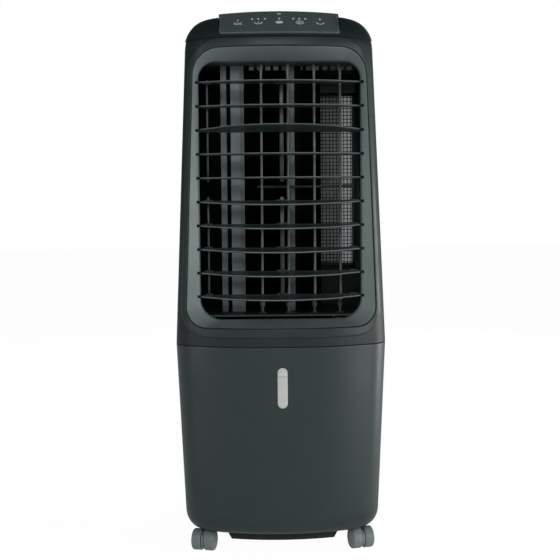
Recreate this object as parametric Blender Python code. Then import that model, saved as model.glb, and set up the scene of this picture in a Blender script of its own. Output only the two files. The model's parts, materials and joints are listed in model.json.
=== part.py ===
"""Evaporative tower cooler on four twin-wheel casters.

Metres, +Z up, the outlet faces -Y, the origin is on the floor under the middle of the object.
"""

from math import asin, cos, pi, radians, sin, sqrt

import bmesh
import bpy
from mathutils import Matrix, Vector

# ---- driving dimensions ----
GAP = 0.0003                # between pieces that touch

# body outline
WAIST_Z = 0.3228            # seam between the upper and the lower body, the widest level
WAIST_HALF = 0.1633
UPPER_TAPER = 0.0422        # half width lost per metre above the waist
LOWER_TAPER = 0.0460        # half width lost per metre below the waist
FRONT_Y = -0.1550           # middle of the front at the waist
UPPER_LEAN = 0.0200         # the front leans back per metre above the waist
LOWER_LEAN = 0.0120
BACK_Y = 0.1500
BOW_RADIUS = 0.2850         # the front is bowed in plan
FRONT_CORNER = 0.0500
BACK_CORNER = 0.0140
BODY_BOTTOM = 0.0346
BOTTOM_ROUND = 0.0290
BOTTOM_TUCK = 0.0205        # how far the sides tuck in over the bottom round
PAN_CLEAR = 0.0030          # base pan to the inside of the shells
SHOULDER_Z = 0.7700
SHOULDER_ROUND = 0.0480     # height of the shoulder round
SHOULDER_SIDE = 0.0380      # how far the sides run in over it
SHOULDER_FRONT = 0.0450     # how far the front runs back over the shoulder round
COVER_Z = 0.7832
TOP_Z = SHOULDER_Z + SHOULDER_ROUND
SPLIT_Y = -0.0500           # front shells end here and the rear shell starts
FRONT_STEP = 0.0015         # the front shells stand inside the rear shell's outline
WALL = 0.0025

# outlet
OUTLET_Y = -0.1040          # plane of the opening
LIP = 0.0120
OPEN_HALF = 0.1225
OPEN_TOP, OPEN_BOTTOM = 0.7500, 0.3600
OPEN_ROUND_TOP, OPEN_ROUND_BOTTOM = 0.0250, 0.0330
SEAM_HALF_TOP, SEAM_HALF_BOTTOM = 0.1320, 0.1450
SEAM_TOP, SEAM_BOTTOM = 0.7680, 0.3508
SEAM_ROUND_TOP, SEAM_ROUND_BOTTOM = 0.0400, 0.0300
FLANGE_HALF_TOP, FLANGE_HALF_BOTTOM = 0.1400, 0.1535
FLANGE_TOP, FLANGE_BOTTOM = 0.7822, 0.3366
FLANGE_ROUND_TOP, FLANGE_ROUND_BOTTOM = 0.0500, 0.0400
FLANGE_PROUD = 0.0030

# louvers
LOUVERS = 10
LOUVER_PITCH = 0.0359
LOUVER_TOP_Z = 0.7190
LOUVER_AXIS_Y = -0.1000
LOUVER_HALF = 0.1212
LOUVER_STEP_X = 0.0920      # the middle part stands further forward than the ends
LOUVER_FORWARD = 0.0350     # axis to front edge in the middle
LOUVER_STEP = 0.0030
LOUVER_BACK = 0.0100
LOUVER_THICK = 0.0022
PIN_RADIUS, PIN_REACH = 0.0017, 0.0038
UPPER_GROUP, LOWER_GROUP = (1, 2, 4, 5), (6, 7, 8, 9, 10)
LOOSE_LOUVER = 3
LOWER_TILT, LOOSE_TILT = radians(8), radians(-12.5)
ROD_PIN_BACK = 0.0150       # louver axis to the pin of the link rods
ROD_PIN_RADIUS = 0.0012
RODS = {"centre": (0.0030, 0.0060), "side": (-0.1100, 0.0032)}   # place in X, width

# vanes
VANE_X = (-0.0277, 0.0129, 0.0535, 0.0935)
VANE_AXIS_Y = -0.0610
VANE_HALF_CHORD = 0.0170
VANE_THICK = 0.0025
VANE_BOTTOM, VANE_TOP = 0.3860, 0.7400
VANE_LINK_Z, VANE_LINK_BACK = 0.5627, 0.0100

# air path
FLOOR_Z, CEILING_Z, PLATE = 0.3665, 0.7505, 0.0030
WHEEL_X, WHEEL_Y, WHEEL_RADIUS = 0.0220, 0.0140, 0.0460
WHEEL_BOTTOM, WHEEL_TOP = 0.3720, 0.7440
BLADES = 20
VOLUTE_Y = -0.0420
PAD_HALF, PAD_FRONT, PAD_BACK = 0.1335, 0.1120, 0.1420
PAD_BOTTOM, PAD_TOP = 0.4300, 0.7220

# water
TANK_HALF, TANK_FRONT, TANK_BACK = 0.1280, -0.0900, 0.1495
TANK_BOTTOM, TANK_TOP = 0.0590, 0.2960
WINDOW_Z, WINDOW_HALF_W, WINDOW_HALF_H = 0.2617, 0.0076, 0.0305
HOSE_RADIUS = 0.0050
PUMP_X, PUMP_Y = -0.1000, 0.1150

# controls, latch and power inlet
PLATE_HALF = 0.0905
PLATE_SAG = 0.0030          # how much lower the plate hangs in the middle than at its ends
LATCH_X, LATCH_Z = 0.0, 0.3140
GLAND_X, GLAND_Z = 0.1000, 0.3420

# casters
CASTER_X, CASTER_FRONT_Y, CASTER_REAR_Y = 0.1185, -0.0780, 0.0980
WHEEL_R, WHEEL_WIDTH, WHEEL_GAP = 0.0165, 0.0150, 0.0055
TRAIL = 0.0120
CASTER_YAW = {"front_left": 165.0, "front_right": 196.0, "rear_left": 25.0, "rear_right": -35.0}

MATERIALS = {
    "front_charcoal": ((0.036, 0.050, 0.048), 0.42, 0.0),
    "control_charcoal": ((0.040, 0.054, 0.052), 0.30, 0.0),
    "rear_charcoal": ((0.016, 0.024, 0.024), 0.50, 0.0),
    "louver_black": ((0.022, 0.030, 0.030), 0.38, 0.0),
    "blower_black": ((0.012, 0.015, 0.015), 0.50, 0.0),
    "duct_grey": ((0.060, 0.070, 0.070), 0.50, 0.0),
    "base_black": ((0.012, 0.017, 0.017), 0.60, 0.0),
    "caster_grey": ((0.110, 0.125, 0.125), 0.45, 0.0),
    "window_grey": ((0.450, 0.455, 0.445), 0.30, 0.0),
    "pad_brown": ((0.330, 0.210, 0.100), 0.85, 0.0),
    "tank_grey": ((0.020, 0.028, 0.028), 0.45, 0.0),
    "motor_steel": ((0.420, 0.420, 0.410), 0.35, 1.0),
    "board_green": ((0.020, 0.110, 0.050), 0.50, 0.0),
    "hose_clear": ((0.550, 0.560, 0.540), 0.25, 0.0),
    "float_white": ((0.750, 0.750, 0.730), 0.40, 0.0),
}


# ---- scene, materials and small makers ----
def start():
    for obj in list(bpy.data.objects):
        bpy.data.objects.remove(obj)
    parts = bpy.data.collections.new("evaporative_cooler")
    tools = bpy.data.collections.new("cutters")
    bpy.context.scene.collection.children.link(parts)
    bpy.context.scene.collection.children.link(tools)
    return parts, tools


PARTS, TOOLS = start()


def material(name):
    made = bpy.data.materials.get(name)
    if made is None:
        colour, roughness, metallic = MATERIALS[name]
        made = bpy.data.materials.new(name)
        made.use_nodes = True
        shader = made.node_tree.nodes["Principled BSDF"]
        shader.inputs["Base Color"].default_value = (*colour, 1)
        shader.inputs["Roughness"].default_value = roughness
        shader.inputs["Metallic"].default_value = metallic
    return made


def finish_mesh(name, bm):
    bmesh.ops.recalc_face_normals(bm, faces=bm.faces)
    mesh = bpy.data.meshes.new(name)
    bm.to_mesh(mesh)
    bm.free()
    mesh.shade_smooth()
    mesh.set_sharp_from_angle(angle=radians(35))
    return mesh


def part(name, mesh, look):
    """A named piece of the object."""
    obj = bpy.data.objects.new(name, mesh)
    obj.data.materials.clear()
    obj.data.materials.append(material(look))
    PARTS.objects.link(obj)
    return obj


def tool(name, mesh):
    """A shape that only cuts, joins or limits another."""
    obj = bpy.data.objects.new(name, mesh)
    obj.hide_render = True
    obj.display_type = "WIRE"
    TOOLS.objects.link(obj)
    return obj


def boolean(obj, mesh, operation):
    other = tool(f"{obj.name}.{operation.lower()}", mesh)
    other.matrix_world = obj.matrix_basis
    modifier = obj.modifiers.new(operation.lower(), "BOOLEAN")
    modifier.operation = operation
    modifier.object = other
    return obj


def cut(obj, mesh):
    return boolean(obj, mesh, "DIFFERENCE")


def join(obj, mesh):
    return boolean(obj, mesh, "UNION")


def keep(obj, mesh):
    return boolean(obj, mesh, "INTERSECT")


def add_box(bm, low, high, turn=None):
    low, high = Vector(low), Vector(high)
    size = high - low
    matrix = Matrix.Translation((low + high) / 2) @ Matrix.Diagonal((*size, 1))
    bmesh.ops.create_cube(bm, size=1, matrix=turn @ matrix if turn else matrix)


def add_cylinder(bm, start_at, end_at, radius, sides=16):
    start_at, end_at = Vector(start_at), Vector(end_at)
    along = end_at - start_at
    turn = along.to_track_quat("Z", "Y").to_matrix().to_4x4()
    bmesh.ops.create_cone(
        bm, cap_ends=True, segments=sides, radius1=radius, radius2=radius, depth=along.length,
        matrix=Matrix.Translation((start_at + end_at) / 2) @ turn,
    )


def box(name, low, high):
    bm = bmesh.new()
    add_box(bm, low, high)
    return finish_mesh(name, bm)


def boxes(name, spans):
    bm = bmesh.new()
    for low, high in spans:
        add_box(bm, low, high)
    return finish_mesh(name, bm)


def cylinder(name, start_at, end_at, radius, sides=16):
    bm = bmesh.new()
    add_cylinder(bm, start_at, end_at, radius, sides)
    return finish_mesh(name, bm)


def loft(name, loops, ring=False):
    """Skins equal closed loops. A ring joins the last loop to the first; otherwise the ends are capped."""
    bm = bmesh.new()
    rows = [[bm.verts.new(point) for point in loop] for loop in loops]
    count = len(rows[0])
    pairs = list(zip(rows, rows[1:])) + ([(rows[-1], rows[0])] if ring else [])
    for first, second in pairs:
        for i in range(count):
            j = (i + 1) % count
            bm.faces.new((first[i], first[j], second[j], second[i]))
    if not ring:
        bm.faces.new(rows[0][::-1])
        bm.faces.new(rows[-1])
    return finish_mesh(name, bm)


def prism(name, outline, along, low, high):
    """An outline in the two other axes, extruded along X, Y or Z."""
    place = {
        "X": lambda a, b, c: (c, a, b),
        "Y": lambda a, b, c: (a, c, b),
        "Z": lambda a, b, c: (a, b, c),
    }[along]
    return loft(name, [[place(a, b, level) for a, b in outline] for level in (low, high)])


def arc(centre, radius, start_angle, end_angle, steps):
    """Points on an arc, angles from +X, both ends included."""
    turn = (end_angle - start_angle) / steps
    angles = [start_angle + turn * i for i in range(steps + 1)]
    return [(centre[0] + radius * cos(a), centre[1] + radius * sin(a)) for a in angles]


def ribbon(path, thick):
    """The closed outline of a wall of even thickness along a path, the path on its middle."""
    points = [Vector(p) for p in path]
    sides = ([], [])
    for i, point in enumerate(points):
        before = (point - points[i - 1]).normalized() if i else None
        after = (points[i + 1] - point).normalized() if i < len(points) - 1 else None
        heading = ((before or after) + (after or before)).normalized()
        stretch = 1 / max(0.35, heading.dot(after or before))
        normal = Vector((-heading.y, heading.x)) * thick / 2 * stretch
        sides[0].append(tuple(point + normal))
        sides[1].append(tuple(point - normal))
    return sides[0] + sides[1][::-1]


# ---- body outline ----
def round_in(z):
    """(sides, front, back): how far the shoulder or the bottom round pulls the outline in."""
    if z > SHOULDER_Z:
        share = 1 - sqrt(max(0.0, 1 - ((z - SHOULDER_Z) / SHOULDER_ROUND) ** 2))
        return SHOULDER_SIDE * share, SHOULDER_FRONT * share, SHOULDER_SIDE * share
    low = BODY_BOTTOM + BOTTOM_ROUND
    if z < low:
        share = 1 - sqrt(max(0.0, 1 - ((low - z) / BOTTOM_ROUND) ** 2))
        return BOTTOM_TUCK * share, BOTTOM_TUCK * share, BOTTOM_TUCK * share
    return 0.0, 0.0, 0.0


def half_width(z):
    taper = UPPER_TAPER if z > WAIST_Z else LOWER_TAPER
    return WAIST_HALF - abs(z - WAIST_Z) * taper - round_in(z)[0]


def front_y(z):
    lean = UPPER_LEAN if z > WAIST_Z else LOWER_LEAN
    return FRONT_Y + abs(z - WAIST_Z) * lean + round_in(z)[1]


def corner_of(z, inset):
    """Half width, bow radius, corner radius, corner centre and the angle where the bow meets the corner."""
    half, front = half_width(z) - inset, front_y(z) + inset
    bow, corner = BOW_RADIUS - inset, FRONT_CORNER - inset
    centre_y = front + bow - sqrt((bow - corner) ** 2 - (half - corner) ** 2)
    return half, front, bow, corner, centre_y, asin((half - corner) / (bow - corner))


def outline(z, inset=0.0):
    """The closed plan outline of the body at a level, inset towards the inside."""
    half, front, bow, corner, centre_y, meet = corner_of(z, inset)
    back = BACK_Y - round_in(z)[2] - inset
    rear = BACK_CORNER - inset
    bow_steps, corner_steps, rear_steps = 8, 6, 4
    right = arc((0, front + bow), bow, -pi / 2, -pi / 2 + meet, bow_steps)[1:]
    right += arc((half - corner, centre_y), corner, -pi / 2 + meet, 0, corner_steps)[1:]
    right += arc((half - rear, back - rear), rear, 0, pi / 2, rear_steps)
    left = [(-x, y) for x, y in right[::-1]]
    return [(0.0, front), *right, *left]


def surface_y(x, z, inset=0.0):
    """The front surface's Y over a point of the front view."""
    half, front, bow, corner, centre_y, meet = corner_of(z, inset)
    x = min(abs(x), half)
    if x <= bow * sin(meet):
        return front + bow - sqrt(bow**2 - x**2)
    return centre_y - sqrt(max(0.0, corner**2 - (x - half + corner) ** 2))


def levels(low, high):
    """Loft levels between two heights: close together where the outline is rounded."""
    rounds = [BODY_BOTTOM + BOTTOM_ROUND * (1 - sin(pi / 2 * i / 5)) for i in range(6)]
    rounds += [SHOULDER_Z + SHOULDER_ROUND * sin(pi / 2 * i / 5) for i in range(6)]
    inside = [z for z in (*rounds, WAIST_Z) if low + GAP < z < high - GAP]
    return [low, *sorted(inside), high]


def body_shell(name, low, high, inset, wall=WALL):
    """A hollow tube of the body's outline, open at both ends."""
    heights = levels(low, high)
    outer = [[(x, y, z) for x, y in outline(z, inset)] for z in heights]
    inner = [[(x, y, z) for x, y in outline(z, inset + wall)] for z in heights[::-1]]
    return loft(name, outer + inner, ring=True)


def half_space(name, front):
    edge = SPLIT_Y - GAP if front else SPLIT_Y
    far = -0.3 if front else 0.3
    return box(name, (-0.3, min(edge, far), -0.1), (0.3, max(edge, far), 1.0))


def round_rect(half_top, half_bottom, top, bottom, round_top, round_bottom, grow=0.0):
    """The front-view outline of the opening, its seam or its flange: a rounded trapezoid."""
    slope = (half_bottom - half_top) / (top - bottom)
    edge_steps, corner_steps = 6, 5
    high, low = top + grow, bottom - grow
    wide_top, wide_bottom = half_top - slope * grow + grow, half_bottom + slope * grow + grow
    r_top, r_bottom = round_top + grow, round_bottom + grow
    corners = (
        ((wide_top - r_top - slope * r_top, high - r_top), r_top, 0.0),
        ((-(wide_top - r_top - slope * r_top), high - r_top), r_top, pi / 2),
        ((-(wide_bottom - r_bottom - slope * r_bottom), low + r_bottom), r_bottom, pi),
        ((wide_bottom - r_bottom - slope * r_bottom, low + r_bottom), r_bottom, 3 * pi / 2),
    )
    points = []
    for i, (centre, radius, angle) in enumerate(corners):
        points += arc(centre, radius, angle, angle + pi / 2, corner_steps)
        if i in (0, 2):
            last = Vector(points[-1])
            centre_next, radius_next, angle_next = corners[i + 1]
            after = Vector(arc(centre_next, radius_next, angle_next, angle_next, 1)[0])
            points += [tuple(last.lerp(after, k / edge_steps)) for k in range(1, edge_steps)]
    return points


def opening_outline(grow=0.0):
    return round_rect(OPEN_HALF, OPEN_HALF, OPEN_TOP, OPEN_BOTTOM, OPEN_ROUND_TOP, OPEN_ROUND_BOTTOM, grow)


def seam_outline(grow=0.0):
    return round_rect(
        SEAM_HALF_TOP, SEAM_HALF_BOTTOM, SEAM_TOP, SEAM_BOTTOM, SEAM_ROUND_TOP, SEAM_ROUND_BOTTOM, grow
    )


def flange_outline():
    return round_rect(
        FLANGE_HALF_TOP, FLANGE_HALF_BOTTOM, FLANGE_TOP, FLANGE_BOTTOM, FLANGE_ROUND_TOP,
        FLANGE_ROUND_BOTTOM,
    )


# ---- casing ----
def casing():
    shell = body_shell("front", WAIST_Z + GAP, COVER_Z - GAP, FRONT_STEP)
    front = part("front_housing", shell, "rear_charcoal")
    keep(front, half_space("front_side", True))
    cut(front, prism("outlet_hole", seam_outline(0.0035), "Y", -0.3, 0.0))

    shell = body_shell("lower", BODY_BOTTOM, WAIST_Z - GAP, FRONT_STEP)
    lower = part("lower_front_panel", shell, "front_charcoal")
    keep(lower, half_space("lower_side", True))
    cut(lower, prism("window_hole", slot_outline(GAP), "Y", -0.3, -0.1))

    rear = part("rear_housing", body_shell("rear", BODY_BOTTOM, COVER_Z - GAP, 0.0), "rear_charcoal")
    keep(rear, half_space("rear_side", False))
    openings = (
        ((-PAD_HALF + 0.003, 0.13, PAD_BOTTOM + 0.003), (PAD_HALF - 0.003, 0.2, PAD_TOP - 0.003)),
        ((-TANK_HALF - 0.0008, 0.13, TANK_BOTTOM - 0.0008), (TANK_HALF + 0.0008, 0.2, TANK_TOP + 0.0008)),
    )
    cut(rear, boxes("rear_openings", openings))
    cut(rear, cylinder("latch_hole", (LATCH_X, 0.13, LATCH_Z), (LATCH_X, 0.2, LATCH_Z), 0.0038, 12))
    cut(rear, cylinder("gland_hole", (GLAND_X, 0.13, GLAND_Z), (GLAND_X, 0.2, GLAND_Z), 0.0063, 12))


def top_cover():
    heights = levels(COVER_Z, TOP_Z)
    outer = [[(x, y, z) for x, y in outline(z)] for z in heights]
    inner = [[(x, y, COVER_Z - 0.01) for x, y in outline(COVER_Z, WALL)]]
    inner += [[(x, y, z - WALL) for x, y in outline(z, WALL)] for z in heights[1:]]
    cover = part("top_cover", loft("cover", outer), "rear_charcoal")
    cut(cover, loft("cover_inside", inner))
    cut(cover, plate_mesh("plate_seat", 0.0006, 0.0200))


def outlet_surround():
    shell = body_shell(
        "surround_shell", WAIST_Z + 0.002, COVER_Z, FRONT_STEP - GAP - FLANGE_PROUD, FLANGE_PROUD
    )
    flange = part("outlet_surround", shell, "front_charcoal")
    keep(flange, prism("flange_outer", flange_outline(), "Y", -0.3, SPLIT_Y - 0.01))
    cut(flange, prism("flange_inner", seam_outline(), "Y", -0.3, 0.0))


def outlet_frame():
    """The funnel from the seam on the bowed front to the flat opening, with the lip round the louvers."""
    seam, opening, outer = seam_outline(-2 * GAP), opening_outline(), opening_outline(WALL)
    sink, flange = 0.0008, 0.0030
    loops = [
        [(x, surface_y(x, z, FRONT_STEP) - FLANGE_PROUD + sink, z) for x, z in seam],
        [(x, OUTLET_Y, z) for x, z in opening],
        [(x, OUTLET_Y + LIP, z) for x, z in opening],
        [(x, OUTLET_Y + LIP, z) for x, z in outer],
        [(x, OUTLET_Y + 0.004, z) for x, z in outer],
        [(x, surface_y(x, z, FRONT_STEP) + flange, z) for x, z in seam],
    ]
    frame = part("outlet_frame", loft("outlet_frame", loops, ring=True), "front_charcoal")
    slot_half, slot_front, slot_deep = 0.0024, -0.1130, 0.0045
    slots = [
        (
            (side * OPEN_HALF - slot_deep, slot_front, z - slot_half),
            (side * OPEN_HALF + slot_deep, LOUVER_AXIS_Y + slot_half, z + slot_half),
        )
        for z in (louver_z(n) for n in range(1, LOUVERS + 1))
        for side in (-1, 1)
    ]
    cut(frame, boxes("louver_slots", slots))


# ---- louvers and their link rods ----
def louver_z(number):
    return LOUVER_TOP_Z - LOUVER_PITCH * (number - 1)


def louver_tilt(number):
    """Turn about +X: the front edge goes down for a positive angle."""
    if number == LOOSE_LOUVER:
        return LOOSE_TILT
    return LOWER_TILT if number in LOWER_GROUP else 0.0


def louver_outline():
    """Plan outline about the axis: bowed front with a step, straight back with notches for the rods."""
    def front(x, step):
        bow = BOW_RADIUS - sqrt(BOW_RADIUS**2 - x**2)
        return -LOUVER_FORWARD + bow + step

    end_steps, middle_steps = 2, 10
    ends = [LOUVER_STEP_X + (LOUVER_HALF - LOUVER_STEP_X) * i / end_steps for i in range(end_steps + 1)]
    middle = [LOUVER_STEP_X * (2 * i / middle_steps - 1) for i in range(middle_steps + 1)]
    points = [(-x, front(x, LOUVER_STEP)) for x in ends[::-1]]
    points += [(x, front(x, 0)) for x in middle]
    points += [(x, front(x, LOUVER_STEP)) for x in ends]
    back = [(LOUVER_HALF, LOUVER_BACK)]
    notch_deep, room = 0.0060, 0.0012
    for x, width in RODS.values():
        side = width / 2 + room
        back += [(x + side, LOUVER_BACK), (x + side, LOUVER_BACK - notch_deep)]
        back += [(x - side, LOUVER_BACK - notch_deep), (x - side, LOUVER_BACK)]
    back.append((-LOUVER_HALF, LOUVER_BACK))
    return points + back


def louver_mesh():
    half = LOUVER_THICK / 2
    return prism("louver", louver_outline(), "Z", -half, half)


def louver_spine():
    """The axis rod with its end pins, and the ears and pins that carry the link rods."""
    bm = bmesh.new()
    add_cylinder(bm, (-LOUVER_HALF - PIN_REACH, 0, 0), (LOUVER_HALF + PIN_REACH, 0, 0), PIN_RADIUS, 8)
    return finish_mesh("louver_spine", bm)


def rod_ears(x, width):
    """Two ears behind the louver with a pin between them."""
    room, ear = 0.0007, 0.0014
    inner, high = width / 2 + room, 0.0016
    bm = bmesh.new()
    for side in (-1, 1):
        near, far = x + side * inner, x + side * (inner + ear)
        add_box(
            bm, (min(near, far), LOUVER_BACK - 0.004, -high),
            (max(near, far), ROD_PIN_BACK + 0.0022, high),
        )
    return finish_mesh("rod_ears", bm)


def rod_pin(x, width):
    reach = width / 2 + 0.0012
    ends = (x - reach, ROD_PIN_BACK, 0), (x + reach, ROD_PIN_BACK, 0)
    return cylinder("rod_pin", *ends, ROD_PIN_RADIUS, 6)


def louvers():
    for number in range(1, LOUVERS + 1):
        louver = part(f"louver_{number:02d}", louver_mesh(), "louver_black")
        louver.location = (0, LOUVER_AXIS_Y, louver_z(number))
        louver.rotation_euler = (louver_tilt(number), 0, 0)
        join(louver, louver_spine())
        if number == LOOSE_LOUVER:
            continue
        for x, width in RODS.values():
            join(louver, rod_ears(x, width))
            join(louver, rod_pin(x, width))


def link_rods():
    """Upright strips with one hole for each louver of their group."""
    hole, rim, over = 0.0018, 0.0030, 0.0055
    for kind, (x, width) in RODS.items():
        for group_name, group in (("upper", UPPER_GROUP), ("lower", LOWER_GROUP)):
            tilt = louver_tilt(group[0])
            y = LOUVER_AXIS_Y + ROD_PIN_BACK * cos(tilt)
            heights = [louver_z(n) + ROD_PIN_BACK * sin(tilt) for n in group]
            low, high = heights[-1] - over, heights[0] + over
            rod = part(
                f"{kind}_link_rod_{group_name}",
                box("rod", (x - width / 2, y - rim, low), (x + width / 2, y + rim, high)), "louver_black",
            )
            bm = bmesh.new()
            for z in heights:
                add_cylinder(bm, (x - width, y, z), (x + width, y, z), hole, 8)
            cut(rod, finish_mesh("rod_holes", bm))


# ---- upright vanes and their link bar ----
def vanes():
    for number, x in enumerate(VANE_X, 1):
        half = VANE_THICK / 2
        mesh = box(
            "vane", (-half, -VANE_HALF_CHORD, VANE_BOTTOM), (half, VANE_HALF_CHORD, VANE_TOP)
        )
        vane = part(f"vane_{number}", mesh, "louver_black")
        vane.location = (x, VANE_AXIS_Y, 0)
        notch, notch_deep = 0.0050, 0.0185
        cut(
            vane,
            box(
                "link_notch", (-0.01, VANE_HALF_CHORD - notch_deep, VANE_LINK_Z - notch),
                (0.01, VANE_HALF_CHORD + 0.01, VANE_LINK_Z + notch),
            ),
        )
        bulb, pin, pin_end = 0.0034, 0.0020, 0.0030
        bm = bmesh.new()
        add_cylinder(bm, (0, 0, VANE_TOP - 0.004), (0, 0, VANE_TOP + 0.006), bulb, 8)
        add_cylinder(bm, (0, 0, VANE_BOTTOM - 0.009), (0, 0, VANE_BOTTOM + 0.004), bulb, 8)
        join(vane, finish_mesh("bulbs", bm))
        bm = bmesh.new()
        add_cylinder(bm, (0, 0, VANE_TOP + 0.004), (0, 0, CEILING_Z + pin_end - 0.0005), pin, 6)
        add_cylinder(bm, (0, 0, FLOOR_Z - pin_end + 0.0005), (0, 0, VANE_BOTTOM - 0.007), pin, 6)
        join(vane, finish_mesh("pins", bm))
        join(
            vane,
            cylinder(
                "link_pin", (0, VANE_LINK_BACK, VANE_LINK_Z - notch - 0.001),
                (0, VANE_LINK_BACK, VANE_LINK_Z + notch + 0.001), ROD_PIN_RADIUS, 6,
            ),
        )


def vane_link():
    over, half_deep, half_high, hole = 0.0060, 0.0035, 0.0016, 0.0018
    y = VANE_AXIS_Y + VANE_LINK_BACK
    low = (VANE_X[0] - over, y - half_deep, VANE_LINK_Z - half_high)
    high = (VANE_X[-1] + over, y + half_deep, VANE_LINK_Z + half_high)
    link = part("vane_link_bar", box("vane_link", low, high), "louver_black")
    end_low, end_high, end_half = high[0] - 0.001, high[0] + 0.0170, 0.0030
    join(
        link,
        box(
            "driven_end", (end_low, y - half_deep, VANE_LINK_Z - end_half),
            (end_high, y + half_deep, VANE_LINK_Z + end_half),
        ),
    )
    bm = bmesh.new()
    for x in VANE_X:
        add_cylinder(bm, (x, y, VANE_LINK_Z - 0.01), (x, y, VANE_LINK_Z + 0.01), hole, 8)
    cut(link, finish_mesh("link_holes", bm))


# ---- air path ----
def duct_plates():
    half, front, back = OPEN_HALF + 0.0025, OUTLET_Y + LIP + GAP, PAD_FRONT - 0.014
    floor_mesh = box("floor", (-half, front, FLOOR_Z - PLATE), (half, back, FLOOR_Z))
    floor = part("duct_floor", floor_mesh, "duct_grey")
    foot_half, foot_high = 0.0055, 0.0016
    foot_front, foot_back = VANE_AXIS_Y - foot_half, VANE_AXIS_Y + foot_half
    feet = [
        ((x - foot_half, foot_front, FLOOR_Z - 0.001), (x + foot_half, foot_back, FLOOR_Z + foot_high))
        for x in VANE_X
    ]
    join(floor, boxes("vane_feet", feet))
    ceiling_mesh = box("ceiling", (-half, front, CEILING_Z), (half, back, CEILING_Z + PLATE))
    ceiling = part("duct_ceiling", ceiling_mesh, "duct_grey")
    for plate in (floor, ceiling):
        bm = bmesh.new()
        for x in VANE_X:
            add_cylinder(bm, (x, VANE_AXIS_Y, 0.3), (x, VANE_AXIS_Y, 0.8), 0.0027, 8)
        add_cylinder(bm, (WHEEL_X, WHEEL_Y, 0.3), (WHEEL_X, WHEEL_Y, 0.8), 0.0070, 12)
        cut(plate, finish_mesh("plate_holes", bm))


def volute():
    """The scroll behind the outlet: two flat lips face the louvers, then the wall runs round the wheel."""
    thick = 0.0030
    wall_radius = WHEEL_RADIUS + 0.0095
    lips = (
        (-0.0907, 0.0), (-0.0829, 0.0), (-0.0824, 0.0130), (-0.0742, 0.0130),
        (-0.0737, 0.0), (-0.0609, 0.0), (-0.0540, 0.0015), (-0.0470, 0.0200),
    )
    path = [(x, VOLUTE_Y + back) for x, back in lips]
    path += arc((WHEEL_X, WHEEL_Y), wall_radius, radians(190), radians(85), 12)
    outer = prism("volute", ribbon(path, thick), "Z", FLOOR_Z + GAP, CEILING_Z - GAP)
    part("volute_wall", outer, "duct_grey")

    low, high = (-0.1390, 0.0280, FLOOR_Z + GAP), (-0.0345, 0.0300, CEILING_Z - GAP)
    part("duct_baffle", box("baffle", low, high), "rear_charcoal")

    path = [(0.0136, -0.0385), (0.0240, -0.0385), (0.0340, -0.0365)]
    tongue = prism("tongue", ribbon(path, 0.0026), "Z", FLOOR_Z + GAP, CEILING_Z - GAP)
    part("volute_tongue", tongue, "duct_grey")


def blower():
    bm = bmesh.new()
    for z in (WHEEL_BOTTOM, (WHEEL_BOTTOM + WHEEL_TOP) / 2, WHEEL_TOP - 0.003):
        add_cylinder(bm, (0, 0, z), (0, 0, z + 0.003), WHEEL_RADIUS, 24)
    wheel = part("blower_wheel", finish_mesh("wheel_discs", bm), "blower_black")
    wheel.location = (WHEEL_X, WHEEL_Y, 0)
    bm = bmesh.new()
    chord, thick, lean, inset = 0.0110, 0.0014, radians(32), 0.0065
    low = (-chord / 2, -thick / 2, WHEEL_BOTTOM + 0.001)
    high = (chord / 2, thick / 2, WHEEL_TOP - 0.001)
    for i in range(BLADES):
        turn = Matrix.Rotation(2 * pi * i / BLADES, 4, "Z")
        turn = turn @ Matrix.Translation((WHEEL_RADIUS - inset, 0, 0)) @ Matrix.Rotation(lean, 4, "Z")
        add_box(bm, low, high, turn)
    join(wheel, finish_mesh("blades", bm))
    bm = bmesh.new()
    add_cylinder(bm, (0, 0, 0.3250), (0, 0, WHEEL_BOTTOM + 0.002), 0.0040, 12)
    add_cylinder(bm, (0, 0, WHEEL_TOP - 0.002), (0, 0, CEILING_Z + PLATE + 0.0050), 0.0040, 12)
    join(wheel, finish_mesh("shaft", bm))


def blower_mounts():
    """The motor under the duct floor and the bearing on the duct ceiling."""
    def on_axis(name, low, high, radius, sides=16):
        return cylinder(name, (WHEEL_X, WHEEL_Y, low), (WHEEL_X, WHEEL_Y, high), radius, sides)

    bore, flange_half, flange_thick = 0.0050, 0.0300, 0.0030
    low, high, flange_low = 0.3000, 0.3520, FLOOR_Z - PLATE - GAP - flange_thick
    motor = part("blower_motor", on_axis("motor", low, high, 0.0340, 32), "motor_steel")
    join(motor, on_axis("motor_neck", high - 0.001, flange_low + 0.001, 0.0120, 20))
    join(
        motor,
        box(
            "motor_flange", (WHEEL_X - flange_half, WHEEL_Y - flange_half, flange_low),
            (WHEEL_X + flange_half, WHEEL_Y + flange_half, flange_low + flange_thick),
        ),
    )
    cut(motor, on_axis("motor_bore", low + 0.0200, FLOOR_Z, bore))

    low = CEILING_Z + PLATE + GAP
    bearing = part("blower_top_bearing", on_axis("bearing", low, low + 0.0060, 0.0120, 20), "motor_steel")
    cut(bearing, on_axis("bearing_bore", low - 0.01, low + 0.02, bore))


def swing_motor():
    """Under the duct floor, on the axis of the right-hand vane."""
    x, y, radius, high = VANE_X[-1], VANE_AXIS_Y, 0.0140, FLOOR_Z - PLATE - 0.0040
    mesh = cylinder("swing_motor", (x, y, high - 0.0220), (x, y, high), radius, 20)
    part("swing_motor", mesh, "motor_steel")


def cooling_pad():
    low, high = (-PAD_HALF, PAD_FRONT, PAD_BOTTOM), (PAD_HALF, PAD_BACK, PAD_TOP)
    part("cooling_pad", box("pad", low, high), "pad_brown")


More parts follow.
